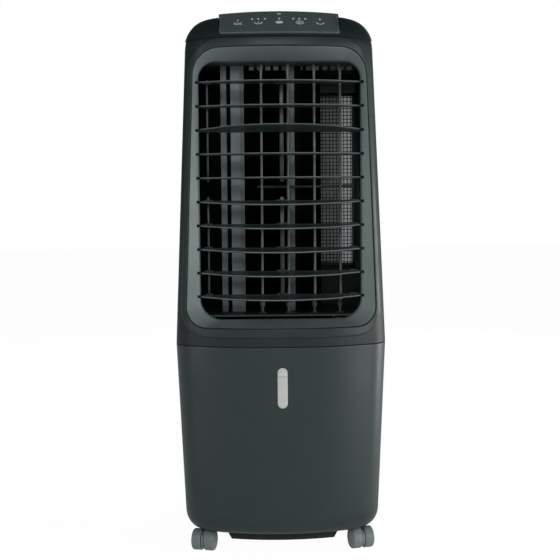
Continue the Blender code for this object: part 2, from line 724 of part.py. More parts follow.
def rear_grille():
    """The filter frame on the back, a plate with rows of slots; it tilts out about its lower edge."""
    half, low, high, thick = 0.1370, 0.4220, 0.7300, 0.0050
    front = BACK_Y + GAP
    plate = box("grille", (-half, front, low), (half, front + thick, high))
    grille = part("rear_grille", plate, "rear_charcoal")
    columns, rows, margin, bar = 4, 10, 0.0100, 0.0028
    cell_w, cell_h = 2 * (half - margin) / columns, (high - low - 2 * margin) / rows
    slots = []
    for i in range(columns):
        for j in range(rows):
            x, z = -half + margin + i * cell_w, low + margin + j * cell_h
            slots.append(((x + bar, 0.1, z + bar), (x + cell_w - bar, 0.2, z + cell_h - bar)))
    cut(grille, boxes("grille_slots", slots))


# ---- water ----
def slot_outline(grow):
    """The water-level window: a rounded upright slot."""
    radius, reach = WINDOW_HALF_W + grow, WINDOW_HALF_H - WINDOW_HALF_W
    top = arc((0, WINDOW_Z + reach), radius, 0, pi, 10)
    bottom = arc((0, WINDOW_Z - reach), radius, pi, 2 * pi, 10)
    return top + bottom


def level_window():
    face = front_y(WINDOW_Z) + FRONT_STEP
    window = prism("window", slot_outline(0.0), "Y", face - 0.0008, face + 0.0040)
    part("level_window", window, "window_grey")


def water_tank():
    wall = 0.0025
    low, high = (-TANK_HALF, TANK_FRONT, TANK_BOTTOM), (TANK_HALF, TANK_BACK, TANK_TOP)
    tank = part("water_tank", box("tank", low, high), "tank_grey")
    inside_low, inside_high = [a + wall for a in low], [a - wall for a in high[:2]]
    cut(tank, box("tank_inside", inside_low, (*inside_high, TANK_TOP + 0.05)))
    grip_half, grip_deep, grip_low, grip_high = 0.0450, 0.0160, 0.2450, 0.2660
    boss_low = (-grip_half - wall, TANK_BACK - grip_deep - wall, grip_low - wall)
    join(tank, box("grip_boss", boss_low, (grip_half + wall, TANK_BACK - 0.001, grip_high + wall)))
    grip_front = (-grip_half, TANK_BACK - grip_deep, grip_low)
    cut(tank, box("tank_grip", grip_front, (grip_half, TANK_BACK + 0.01, grip_high)))
    guide_x, guide_half, guide_front, guide_back = 0.0095, 0.0010, TANK_FRONT + 0.0010, TANK_FRONT + 0.0115
    guides = [
        ((x - guide_half, guide_front, 0.2200), (x + guide_half, guide_back, TANK_TOP - 0.0020))
        for x in (-guide_x, guide_x)
    ]
    join(tank, boxes("float_guides", guides))
    half, front, deep, low, high = 0.0078, TANK_FRONT + wall + 0.0006, 0.0074, 0.2550, 0.2680
    part("level_float", box("float", (-half, front, low), (half, front + deep, high)), "float_white")


def pump_and_hose():
    half, low, high, spout = 0.0180, 0.0630, 0.1000, 0.0080
    block = box("pump", (PUMP_X - half, PUMP_Y - half, low), (PUMP_X + half, PUMP_Y + half, high))
    pump = part("water_pump", block, "base_black")
    spout_ends = (PUMP_X, PUMP_Y, high - 0.0020), (PUMP_X, PUMP_Y, high + spout)
    join(pump, cylinder("spout", *spout_ends, 0.0055, 12))

    wall, over = 0.0030, 0.0020
    low, high = (-PAD_HALF, PAD_FRONT - over, PAD_TOP + GAP), (PAD_HALF, PAD_BACK + over, 0.7420)
    tray = part("water_distributor", box("distributor", low, high), "duct_grey")
    cut(tray, box("tray_inside", [a + wall for a in low], (*[a - wall for a in high[:2]], high[2] + 0.05)))
    hose_x = -0.1322
    route = [
        (PUMP_X, PUMP_Y, 0.1083), (PUMP_X, PUMP_Y, 0.2000), (PUMP_X, PUMP_Y, 0.2900),
        (-0.1080, 0.1120, 0.3200), (-0.1240, 0.1060, 0.3600), (hose_x, 0.1040, 0.4000),
        (hose_x, 0.1040, 0.5500), (hose_x, 0.1040, 0.7000), (hose_x, 0.1040, 0.7380),
        (-0.1290, 0.1090, 0.7530), (-0.1200, 0.1200, 0.7570), (-0.1080, 0.1280, 0.7480),
        (-0.1050, 0.1290, 0.7330),
    ]
    part("pump_hose", tube("pump_hose", smooth(route, 3), HOSE_RADIUS), "hose_clear")


def smooth(route, steps):
    """A smooth curve through the route's points."""
    points = [Vector(p) for p in route]
    padded = [2 * points[0] - points[1], *points, 2 * points[-1] - points[-2]]
    made = []
    for a, b, c, d in zip(padded, padded[1:], padded[2:], padded[3:]):
        for i in range(steps):
            t = i / steps
            bend = (2 * a - 5 * b + 4 * c - d) * t**2 + (3 * b - a - 3 * c + d) * t**3
            made.append((2 * b + (c - a) * t + bend) / 2)
    return [*made, points[-1]]


def tube(name, points, radius, sides=6):
    """A closed tube along a path, its rings carried along without twist."""
    loops, side = [], Vector((1, 0, 0))
    angles = [2 * pi * k / sides for k in range(sides)]
    for i, point in enumerate(points):
        heading = (points[min(i + 1, len(points) - 1)] - points[max(i - 1, 0)]).normalized()
        side = (side - heading * side.dot(heading)).normalized()
        up = heading.cross(side)
        loops.append([point + radius * (side * cos(a) + up * sin(a)) for a in angles])
    return loft(name, loops)


# ---- controls, latch and power inlet ----
def plate_mesh(name, grow=0.0, lift=0.0):
    """The sloped control plate, bowed with the front and cut back at its lower corners.

    Its seat in the cover is the same shape grown by the gap, with the sloped face lifted clear.
    """
    steps, corner, crown = 12, 0.0040, 0.0020
    half = PLATE_HALF + grow
    flat = [(half - corner) * (2 * i / steps - 1) for i in range(steps + 1)]
    stations = [-half, *flat, half]
    loops = []
    for x in stations:
        back = BOW_RADIUS - sqrt(BOW_RADIUS**2 - x**2)
        drop = crown * (x / half) ** 2
        cut_back = 0.10 if abs(x) > half - corner / 2 else 0.0
        rise = PLATE_SAG * (x / half) ** 2
        low, high = Vector((-0.1465, 0.7866 + rise)), Vector((-0.1010, TOP_Z + 0.0072))
        low = low.lerp(high, cut_back)
        under = Vector((-0.1400, 0.7846 + rise)).lerp(high, cut_back)
        profile = [low, high, Vector((-0.0935, TOP_Z + 0.0062)), Vector((-0.0900, TOP_Z - 0.0085)), under]
        middle = sum(profile, Vector((0, 0))) / len(profile)
        slope = (high - low).normalized()
        profile = [p + (p - middle).normalized() * grow for p in profile]
        if lift:
            clear = Vector((-slope.y, slope.x)) * lift
            profile[1:1] = [profile[0] + clear, profile[1] + clear]
        loops.append([(x, p.x + back, p.y - drop) for p in profile])
    return loft(name, loops)


def controls():
    part("control_plate", plate_mesh("control_plate"), "control_charcoal")
    half, front, back, low, thick = 0.0700, -0.0850, -0.0450, 0.7930, 0.0016
    board = box("board", (-half, front, low), (half, back, low + thick))
    part("control_board", board, "board_green")


def tank_latch():
    """A turn button over the tank; turned down, its tongue covers the tank's upper edge."""
    face, thick = BACK_Y + GAP, 0.0035
    latch = part(
        "tank_latch", cylinder("latch", (0, 0, 0), (0, thick, 0), 0.0110, 20), "rear_charcoal"
    )
    latch.location = (LATCH_X, face, LATCH_Z)
    join(latch, box("latch_tongue", (0, 0.0004, -0.0060), (0.0300, thick - 0.0004, 0.0060)))
    join(latch, cylinder("latch_pin", (0, -0.0035, 0), (0, 0.001, 0), 0.0030, 12))


def cord_gland():
    face = BACK_Y + GAP
    reach = -(front_y(FLANGE_BOTTOM) + FRONT_STEP - GAP - FLANGE_PROUD)
    gland = part(
        "cord_gland", cylinder("gland", (GLAND_X, face, GLAND_Z), (GLAND_X, reach, GLAND_Z), 0.0090, 16),
        "base_black",
    )
    neck_ends = (GLAND_X, BACK_Y - 0.0060, GLAND_Z), (GLAND_X, face + 0.0010, GLAND_Z)
    join(gland, cylinder("gland_neck", *neck_ends, 0.0055, 16))
    cut(gland, cylinder("gland_bore", (GLAND_X, 0.1, GLAND_Z), (GLAND_X, 0.2, GLAND_Z), 0.0034, 12))


# ---- base and casters ----
def caster_places():
    for side, x in (("left", -CASTER_X), ("right", CASTER_X)):
        for end, y in (("front", CASTER_FRONT_Y), ("rear", CASTER_REAR_Y)):
            yield f"{end}_{side}", x, y


def base_pan():
    low, high = BODY_BOTTOM + GAP, BODY_BOTTOM + 0.0070
    inset = FRONT_STEP + WALL + PAN_CLEAR
    loops = [[(x, y, z) for x, y in outline(z, inset)] for z in (low, high)]
    pan = part("base_pan", loft("base_plate", loops), "base_black")
    tray_top, tray_bottom, slope, tray_front, tray_back = 0.0870, 0.0790, 0.0220, -0.1190, 0.1080
    tray = []
    for z, half in ((slope, tray_bottom), (low + 0.001, tray_top)):
        xs = [half * (2 * i / 11 - 1) for i in range(12)]
        bowed = [(x, tray_front + BOW_RADIUS - sqrt(BOW_RADIUS**2 - x**2), z) for x in xs]
        tray.append([*bowed, (half, tray_back, z), (-half, tray_back, z)])
    join(pan, loft("tray", tray))
    cut(pan, box("sump", (-0.0760, -0.1040, slope + 0.0030), (0.0760, 0.1040, 0.06)))
    bm = bmesh.new()
    for _, x, y in caster_places():
        add_cylinder(bm, (x, y, high - 0.001), (x, y, 0.0560), 0.0100, 12)
    join(pan, finish_mesh("bosses", bm))
    bm = bmesh.new()
    for _, x, y in caster_places():
        add_cylinder(bm, (x, y, 0.03), (x, y, 0.0530), 0.0062, 12)
    cut(pan, finish_mesh("stem_bores", bm))


def caster_fork():
    """Stem, collar and the web between the wheels; the stem's axis is at the origin."""
    half_web, top = 0.0019, 0.0336
    disc = arc((TRAIL, WHEEL_R), 0.0148, radians(-190), radians(40), 14)
    web = [*disc, (0.0060, top), (-0.0060, top), (-0.0060, top - 0.006)]
    return prism("web", web, "X", -half_web, half_web)


def casters():
    for place, x, y in caster_places():
        turn = Matrix.Translation((x, y, 0)) @ Matrix.Rotation(radians(CASTER_YAW[place]), 4, "Z")
        fork = part(f"caster_fork_{place}", caster_fork(), "caster_grey")
        fork.matrix_basis = turn
        bm = bmesh.new()
        add_cylinder(bm, (0, 0, 0.0334), (0, 0, 0.0344), 0.0062, 12)
        join(fork, finish_mesh("collar", bm))
        join(fork, cylinder("stem", (0, 0, 0.0338), (0, 0, 0.0522), 0.0054, 12))
        cut(fork, cylinder("axle_bore", (-0.01, TRAIL, WHEEL_R), (0.01, TRAIL, WHEEL_R), 0.0036, 10))

        inner, outer = WHEEL_GAP / 2, WHEEL_GAP / 2 + WHEEL_WIDTH
        bm = bmesh.new()
        for side in (-1, 1):
            add_cylinder(bm, (side * inner, 0, 0), (side * (outer - 0.0015), 0, 0), WHEEL_R, 22)
        pair = part(f"caster_wheels_{place}", finish_mesh("wheels", bm), "caster_grey")
        pair.matrix_basis = turn @ Matrix.Translation((0, TRAIL, WHEEL_R))
        bm = bmesh.new()
        for side in (-1, 1):
            add_cylinder(bm, (side * (outer - 0.003), 0, 0), (side * outer, 0, 0), WHEEL_R - 0.003, 14)
        join(pair, finish_mesh("caps", bm))
        join(pair, cylinder("axle", (-outer + 0.004, 0, 0), (outer - 0.004, 0, 0), 0.0028, 8))


def main():
    casing()
    top_cover()
    outlet_surround()
    outlet_frame()
    louvers()
    link_rods()
    vanes()
    vane_link()
    duct_plates()
    volute()
    blower()
    blower_mounts()
    swing_motor()
    cooling_pad()
    rear_grille()
    level_window()
    water_tank()
    pump_and_hose()
    controls()
    tank_latch()
    cord_gland()
    base_pan()
    casters()


main()
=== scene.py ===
import json
from math import asin, atan2, cos, pi, radians, sin, sqrt, tan

import bmesh
import bpy
from mathutils import Matrix, Vector


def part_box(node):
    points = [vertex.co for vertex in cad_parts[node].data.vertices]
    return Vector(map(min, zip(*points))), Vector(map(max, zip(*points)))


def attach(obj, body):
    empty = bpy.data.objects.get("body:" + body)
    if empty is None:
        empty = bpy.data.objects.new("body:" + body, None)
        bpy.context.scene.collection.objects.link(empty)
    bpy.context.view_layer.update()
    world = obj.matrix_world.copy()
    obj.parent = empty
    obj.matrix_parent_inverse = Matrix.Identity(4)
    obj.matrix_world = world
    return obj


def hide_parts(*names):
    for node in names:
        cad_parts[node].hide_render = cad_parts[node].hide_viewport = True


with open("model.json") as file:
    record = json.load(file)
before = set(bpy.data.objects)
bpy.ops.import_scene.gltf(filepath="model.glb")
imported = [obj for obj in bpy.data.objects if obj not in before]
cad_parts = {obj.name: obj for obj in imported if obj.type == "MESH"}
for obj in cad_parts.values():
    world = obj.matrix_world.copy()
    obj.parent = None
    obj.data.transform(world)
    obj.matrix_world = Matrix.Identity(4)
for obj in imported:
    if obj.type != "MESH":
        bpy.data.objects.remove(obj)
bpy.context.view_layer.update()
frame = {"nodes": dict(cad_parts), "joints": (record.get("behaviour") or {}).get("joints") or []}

JOINTS = {joint["name"]: joint for joint in frame["joints"]}
PIVOTS = {name: joint["pos_m"] for name, joint in JOINTS.items() if "pos_m" in joint}
NODES = frame["nodes"]
SCENE = bpy.context.scene

# ---- dimensions: levels and sides come from the frame, the rounds and tapers are the casing's own ----
GAP = 0.0003
WALL = 0.0025
FRONT_STEP = 0.0015
WAIST_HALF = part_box("rear_housing")[1].x
BACK_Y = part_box("rear_housing")[1].y
BODY_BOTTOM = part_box("rear_housing")[0].z
COVER_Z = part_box("rear_housing")[1].z + GAP
WAIST_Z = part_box("front_housing")[0].z - GAP
SPLIT_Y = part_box("rear_housing")[0].y
FRONT_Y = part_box("lower_front_panel")[0].y - FRONT_STEP
TOP_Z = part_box("top_cover")[1].z
UPPER_TAPER, LOWER_TAPER = 0.0422, 0.0460
UPPER_LEAN, LOWER_LEAN = 0.0200, 0.0120
BOW_RADIUS, FRONT_CORNER, BACK_CORNER = 0.2850, 0.0500, 0.0140
BOTTOM_ROUND, BOTTOM_TUCK = 0.0290, 0.0205
SHOULDER_Z, SHOULDER_ROUND, SHOULDER_SIDE, SHOULDER_FRONT = 0.7700, 0.0480, 0.0380, 0.0450

OUTLET_Y, LIP = -0.1040, 0.0120
OPEN_HALF, OPEN_TOP, OPEN_BOTTOM = 0.1225, 0.7500, 0.3600
OPEN_ROUND = (0.0250, 0.0330)
SEAM = (0.1320, 0.1450, 0.7680, 0.3508, 0.0400, 0.0300)
FLANGE = (0.1400, 0.1535, 0.7822, 0.3366, 0.0500, 0.0400)
FLANGE_PROUD = 0.0030
UPRIGHT = Matrix.Rotation(-pi / 2, 4, "Y")    # turns a lathed shape's X axis up


# ---- mesh makers ----
def skin(bm, loops, ring=False):
    """Faces between equal closed loops, with the ends closed unless they meet in a ring."""
    rows = [[bm.verts.new(point) for point in loop] for loop in loops]
    count = len(rows[0])
    for first, second in list(zip(rows, rows[1:])) + ([(rows[-1], rows[0])] if ring else []):
        for i in range(count):
            j = (i + 1) % count
            bm.faces.new((first[i], first[j], second[j], second[i]))
    if not ring:
        bm.faces.new(rows[0][::-1])
        bm.faces.new(rows[-1])


def skinned(loops, ring=False):
    bm = bmesh.new()
    skin(bm, loops, ring)
    return bm


def quarter(steps):
    return [pi / 2 * i / steps for i in range(steps + 1)]


def lathe(bm, profile, matrix, sides=48):
    """Turns (radius, along) points round local X and closes both ends."""
    loops = []
    for radius, along in profile:
        ring = [(along, radius * cos(a), radius * sin(a)) for a in (2 * pi * k / sides for k in range(sides))]
        loops.append([matrix @ Vector(point) for point in ring])
    skin(bm, loops)


def add_box(bm, low, high):
    low, high = Vector(low), Vector(high)
    place = Matrix.Translation((low + high) / 2) @ Matrix.Diagonal((*(high - low), 1))
    bmesh.ops.create_cube(bm, size=1, matrix=place)


def box_draft(low, high):
    bm = bmesh.new()
    add_box(bm, low, high)
    return bm


def rounded_bar(bm, low, high, radius, along=2, steps=3):
    """A bar with every edge rounded: a rounded section swept along one axis with eased ends."""
    low, high = Vector(low), Vector(high)
    first, second = [axis for axis in range(3) if axis != along]
    centre, half = (low + high) / 2, (high - low) / 2
    rows = [(radius * (1 - sin(a)), -half[along] + radius * (1 - cos(a))) for a in quarter(steps)]
    rows += [(shrink, -level) for shrink, level in rows[::-1]]
    loops = []
    for shrink, level in rows:
        corner = max(radius - shrink, radius * 0.15)
        loop = []
        for i, (side_a, side_b) in enumerate(((1, 1), (-1, 1), (-1, -1), (1, -1))):
            for angle in (pi / 2 * (i + k / steps) for k in range(steps + 1)):
                point = centre.copy()
                point[first] += side_a * (half[first] - shrink - corner) + corner * cos(angle)
                point[second] += side_b * (half[second] - shrink - corner) + corner * sin(angle)
                point[along] += level
                loop.append(point)
        loops.append(loop)
    skin(bm, loops)


def arc(centre, radius, start, end, steps):
    turn = (end - start) / steps
    return [
        (centre[0] + radius * cos(start + turn * i), centre[1] + radius * sin(start + turn * i))
        for i in range(steps + 1)
    ]


def bend(a, b, c, steps):
    """A quadratic curve from a to c that heads for b, both ends included."""
    a, b, c = Vector(a), Vector(b), Vector(c)
    return [a.lerp(b, t).lerp(b.lerp(c, t), t) for t in (i / steps for i in range(steps + 1))]


def to_mesh(name, bm, angle=38):
    bmesh.ops.recalc_face_normals(bm, faces=bm.faces)
    mesh = bpy.data.meshes.new(name)
    bm.to_mesh(mesh)
    bm.free()
    mesh.shade_smooth()
    mesh.set_sharp_from_angle(angle=radians(angle))
    return mesh


def loose(name, mesh):
    obj = bpy.data.objects.new(name, mesh)
    SCENE.collection.objects.link(obj)
    return obj


def carve(obj, bm, angle=38):
    """Cuts the drafted shape out of the object."""
    tool = loose("tool", to_mesh("tool", bm))
    modifier = obj.modifiers.new("carve", "BOOLEAN")
    modifier.operation, modifier.object = "DIFFERENCE", tool
    bpy.context.view_layer.update()
    mesh = bpy.data.meshes.new_from_object(obj.evaluated_get(bpy.context.evaluated_depsgraph_get()))
    obj.modifiers.clear()
    obj.data = mesh
    mesh.shade_smooth()
    mesh.set_sharp_from_angle(angle=radians(angle))
    bpy.data.objects.remove(tool)


def bevel(obj, width, segments=2, angle=40):
    modifier = obj.modifiers.new("bevel", "BEVEL")
    modifier.width, modifier.segments = width, segments
    modifier.limit_method, modifier.angle_limit = "ANGLE", radians(angle)
    modifier.harden_normals = True
    return obj


def piece(obj, body, look, slot, *nodes):
    obj.data.materials.clear()
    obj.data.materials.append(LOOKS[look])
    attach(obj, body)
    if nodes:
        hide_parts(*nodes)


def fit(name, bm, look, slot, *nodes, body="cabinet", angle=38):
    """Finishes a drafted shape as one piece."""
    piece(loose(name, to_mesh(name, bm, angle)), body, look, slot, *nodes)


# ---- materials ----
MOTTLE_SCALE, GLOSS_SCALE, GLOSS_SPREAD = 26, 14, (0.05, 0.06)
COAT_ROUGHNESS, GRAIN_STRENGTH = 0.12, 0.6
GLOW_COLOUR = (0.94, 1.0, 1.0, 1)
# Edges painted paler: partly wear, partly a painted highlight where edges catch the light.
EDGE_WEAR_HIGHLIGHT_RADIUS, EDGE_WEAR_HIGHLIGHT_RANGE, EDGE_WEAR_HIGHLIGHT_LIFT = 0.0009, (0.80, 0.97), 0.012


def plastic(
    name, colour, rough, grain=0.00003, grain_scale=1500, mottle=0.10, coat=0.0, edge=0.25, ior=1.5, glow=0.0,
    rub=2.2, metal=0.0,
):
    """Fine grain, slow colour and gloss variation, and edges painted paler: partly wear, partly painted
    highlight.

    mottle is the share that the colour varies by, edge how strongly the paler edges show and
    rub how many times paler they are.
    """
    made = bpy.data.materials.new(name)
    made.use_nodes = True
    nodes, links = made.node_tree.nodes, made.node_tree.links
    shader = nodes["Principled BSDF"]
    for key, value in (
        ("IOR", ior), ("Metallic", metal), ("Emission Strength", glow), ("Emission Color", GLOW_COLOUR),
        ("Coat Weight", coat), ("Coat Roughness", COAT_ROUGHNESS),
    ):
        shader.inputs[key].default_value = value
    place = nodes.new("ShaderNodeTexCoord")

    def noise(scale, detail=2.0):
        node = nodes.new("ShaderNodeTexNoise")
        node.inputs["Scale"].default_value = scale
        node.inputs["Detail"].default_value = detail
        links.new(place.outputs["Object"], node.inputs["Vector"])
        return node.outputs["Fac"]

    def spread(source, low, high, start=0.3, end=0.7):
        node = nodes.new("ShaderNodeMapRange")
        for key, value in (("From Min", start), ("From Max", end), ("To Min", low), ("To Max", high)):
            node.inputs[key].default_value = value
        links.new(source, node.inputs["Value"])
        return node.outputs["Result"]

    def mix(factor, first, second):
        node = nodes.new("ShaderNodeMix")
        node.data_type = "RGBA"
        links.new(factor, node.inputs["Factor"])
        for key, value in ((6, first), (7, second)):
            if isinstance(value, tuple):
                node.inputs[key].default_value = value
            else:
                links.new(value, node.inputs[key])
        return node.outputs[2]

    dark = (*[c * (1 - mottle) for c in colour], 1)
    light = (*[c * (1 + mottle) for c in colour], 1)
    base = mix(spread(noise(MOTTLE_SCALE, 4), 0, 1), dark, light)
    rim = nodes.new("ShaderNodeBevel")
    rim.samples = 4
    rim.inputs["Radius"].default_value = EDGE_WEAR_HIGHLIGHT_RADIUS
    surface = nodes.new("ShaderNodeNewGeometry")
    agree = nodes.new("ShaderNodeVectorMath")
    agree.operation = "DOT_PRODUCT"
    links.new(rim.outputs["Normal"], agree.inputs[0])
    links.new(surface.outputs["Normal"], agree.inputs[1])
    # Edge mask: the paler edges are partly wear and partly painted highlight.
    wear_and_highlight = spread(agree.outputs["Value"], edge, 0.0, *EDGE_WEAR_HIGHLIGHT_RANGE)
    wear_and_highlight_colour = (*[min(1.0, c * rub + EDGE_WEAR_HIGHLIGHT_LIFT) for c in colour], 1)
    links.new(mix(wear_and_highlight, base, wear_and_highlight_colour), shader.inputs["Base Color"])
    duller, glossier = GLOSS_SPREAD
    gloss = spread(noise(GLOSS_SCALE, 3), rough - duller, rough + glossier)
    links.new(gloss, shader.inputs["Roughness"])
    bump = nodes.new("ShaderNodeBump")
    bump.inputs["Strength"].default_value = GRAIN_STRENGTH
    bump.inputs["Distance"].default_value = grain
    links.new(noise(grain_scale, 2), bump.inputs["Height"])
    links.new(bump.outputs["Normal"], shader.inputs["Normal"])
    return made


DETAIL = {"grain": 0.00001, "mottle": 0.02, "edge": 0.0}
FIBRE = {"grain": 0.00012, "grain_scale": 400, "edge": 0.0}
# Each entry: colour, roughness and what differs from plastic()'s usual settings.
LOOK_TABLE = {
    "front_charcoal": ((0.028, 0.045, 0.046), 0.40, {"mottle": 0.05}),
    # The plate's edges are painted paler: a painted highlight along its rim.
    "control_charcoal": (
        (0.090, 0.124, 0.122), 0.30, {**DETAIL, "coat": 0.25, "mottle": 0.04, "edge": 0.8, "rub": 3.0},
    ),
    "rear_charcoal": ((0.007, 0.015, 0.015), 0.50, {"grain": 0.00006, "grain_scale": 1100}),
    # Edges painted much paler: a painted highlight line along the louver noses.
    "louver_black": ((0.034, 0.050, 0.050), 0.32, {"edge": 0.9, "rub": 5.0}),
    "blower_black": ((0.0006, 0.0014, 0.0014), 0.70, {"edge": 0.0, "ior": 1.12}),
    "duct_grey": ((0.160, 0.200, 0.200), 0.50, {}),
    "base_black": ((0.0025, 0.0065, 0.0065), 0.60, {}),
    "caster_grey": ((0.270, 0.305, 0.305), 0.42, {"edge": 0.15}),
    "window_grey": ((0.80, 0.81, 0.79), 0.25, {**DETAIL, "edge": 0.1}),
    "float_white": ((0.72, 0.72, 0.70), 0.38, {"mottle": 0.02, "edge": 0.0}),
    "pad_brown": ((0.050, 0.060, 0.060), 0.60, {"grain": 0.00010, "grain_scale": 500, "mottle": 0.18}),
    "tank_grey": ((0.018, 0.026, 0.026), 0.45, {}),
    "motor_steel": (
        (0.42, 0.42, 0.41), 0.34, {"grain": 0.00002, "grain_scale": 900, "mottle": 0.12, "metal": 1.0},
    ),
    "board_green": ((0.02, 0.11, 0.05), 0.40, {"coat": 0.3, "edge": 0.0}),
    "hose_clear": ((0.55, 0.56, 0.54), 0.20, {"grain": 0.00001, "edge": 0.0}),
    "funnel_charcoal": ((0.200, 0.240, 0.240), 0.38, {"mottle": 0.05, "edge": 0.6}),
    "lip_grey": ((0.270, 0.320, 0.320), 0.45, {}),
    # Painted highlight along the control plate's rim.
    "panel_rim_grey": ((0.300, 0.340, 0.335), 0.25, {"edge": 0.0}),
    # Pale for painted glints on the ceiling ribs.
    "rib_grey": ((0.55, 0.60, 0.60), 0.35, {"edge": 0.0}),
    "flange_charcoal": ((0.032, 0.047, 0.045), 0.38, {"mottle": 0.05, "edge": 0.5, "ior": 1.38}),
    # Near black: painted shade on the parts deep in the duct, such as the groove between the scroll's lips.
    "inner_black": ((0.0012, 0.0026, 0.0026), 0.65, {"edge": 0.0, "ior": 1.15}),
    # Painted highlight on the upper half of each louver nose.
    "louver_trim": ((0.190, 0.225, 0.225), 0.28, {"edge": 0.0}),
    "duct_shadow": ((0.020, 0.032, 0.032), 0.50, {}),
    "vane_grey": ((0.150, 0.185, 0.185), 0.34, {"edge": 0.3}),
    # The pad's fibre glows: painted backlight, dim over most of the pad and bright at its right end.
    "pad_wet": ((0.62, 0.69, 0.69), 0.60, {**FIBRE, "mottle": 0.30, "glow": 0.012}),
    "pad_dry": ((0.80, 0.84, 0.84), 0.80, {**FIBRE, "mottle": 0.10, "glow": 0.14}),
    "ink_pale": ((0.88, 0.91, 0.90), 0.45, {**DETAIL, "mottle": 0.03}),
    "led_white": ((0.90, 0.92, 0.92), 0.30, DETAIL),
    "window_shade": ((0.12, 0.13, 0.13), 0.40, {**DETAIL, "mottle": 0.03}),
}
LOOKS = {name: plastic(name, colour, rough, **more) for name, (colour, rough, more) in LOOK_TABLE.items()}


# ---- casing surface ----
def round_in(z):
    """(sides, front, back): how far the shoulder or the bottom round pulls the outline in."""
    if z > SHOULDER_Z:
        share = 1 - sqrt(max(0.0, 1 - ((z - SHOULDER_Z) / SHOULDER_ROUND) ** 2))
        return SHOULDER_SIDE * share, SHOULDER_FRONT * share, SHOULDER_SIDE * share
    low = BODY_BOTTOM + BOTTOM_ROUND
    if z < low:
        share = 1 - sqrt(max(0.0, 1 - ((low - z) / BOTTOM_ROUND) ** 2))
        return (BOTTOM_TUCK * share,) * 3
    return 0.0, 0.0, 0.0


def corner_of(z, inset):
    """Half width, front, bow radius, corner radius, corner centre and the angle where bow and corner meet."""
    taper, lean = (UPPER_TAPER, UPPER_LEAN) if z > WAIST_Z else (LOWER_TAPER, LOWER_LEAN)
    pull = round_in(z)
    half = WAIST_HALF - abs(z - WAIST_Z) * taper - pull[0] - inset
    front = FRONT_Y + abs(z - WAIST_Z) * lean + pull[1] + inset
    bow, corner = BOW_RADIUS - inset, FRONT_CORNER - inset
    centre_y = front + bow - sqrt((bow - corner) ** 2 - (half - corner) ** 2)
    return half, front, bow, corner, centre_y, asin((half - corner) / (bow - corner))


def surface_y(x, z, inset=0.0):
    half, front, bow, corner, centre_y, meet = corner_of(z, inset)
    x = min(abs(x), half)
    if x <= bow * sin(meet):
        return front + bow - sqrt(bow**2 - x**2)
    return centre_y - sqrt(max(0.0, corner**2 - (x - half + corner) ** 2))


BOW_STEPS, CORNER_STEPS, REAR_STEPS = 30, 16, 10


def front_half(z, inset, split):
    """Right half of the front in plan, from the split round to the middle."""
    half, front, bow, corner, centre_y, meet = corner_of(z, inset)
    points = [(half, split), (half, (split + centre_y) / 2)]
    points += arc((half - corner, centre_y), corner, 0, -pi / 2 + meet, CORNER_STEPS)
    points += arc((0, front + bow), bow, -pi / 2 + meet, -pi / 2, BOW_STEPS)[1:]
    return points


def rear_half(z, inset, split):
    half = corner_of(z, inset)[0]
    back, rear = BACK_Y - round_in(z)[2] - inset, BACK_CORNER - inset
    points = [(half, split), (half, (split + back) / 2)]
    points += arc((half - rear, back - rear), rear, 0, pi / 2, REAR_STEPS)
    points += [((half - rear) * share, back) for share in (0.75, 0.5, 0.25, 0.003)]
    return points


def mirrored(points):
    """The whole path from the right end to the left end."""
    return points + [(-x, y) for x, y in points[::-1] if abs(x) > 1e-6]


def whole_outline(z, inset):
    front = mirrored(front_half(z, inset, 0.0))
    rear = mirrored(rear_half(z, inset, 0.0))
    return front + rear[::-1][1:-1]


ROW_SPACING, ROW_COUNT = 0.0160, 43
ROW_MARGIN = (0.0015, 0.0012)    # from the waist seam and from the window to the nearest row


def eased(low, high, inset, wall, edge=0.0007):
    """(level, outer inset, inner inset) with the two ends of the wall rounded."""
    rounds = [BODY_BOTTOM + BOTTOM_ROUND * (1 - sin(a)) for a in quarter(10)]
    rounds += [SHOULDER_Z + SHOULDER_ROUND * sin(a) for a in quarter(12)]
    rounds += [WAIST_Z - ROW_MARGIN[0], WAIST_Z + ROW_MARGIN[0]]
    rounds += [BODY_BOTTOM + BOTTOM_ROUND + ROW_SPACING * i for i in range(1, ROW_COUNT + 1)]
    window_low, window_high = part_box("level_window")
    rounds += [window_low.z - ROW_MARGIN[1], window_high.z + ROW_MARGIN[1]]
    inside = sorted({z for z in rounds if low + 2 * edge < z < high - 2 * edge})
    ends = [(0.0, 1.0), (0.13, 0.5), (0.5, 0.13), (1.0, 0.0)]
    made = [(low + edge * up, inset + edge * side, inset + wall - edge * side) for up, side in ends]
    made += [(z, inset, inset + wall) for z in inside]
    made += [(high - edge * up, inset + edge * side, inset + wall - edge * side) for up, side in ends[::-1]]
    return made


def c_shell(name, half_path, split, rows):
    bm = bmesh.new()
    loops = []
    for z, outer, inner in rows:
        loop = mirrored(half_path(z, outer, split)) + mirrored(half_path(z, inner, split))[::-1]
        loops.append([(x, y, z) for x, y in loop])
    skin(bm, loops)
    return loose(name, to_mesh(name, bm))


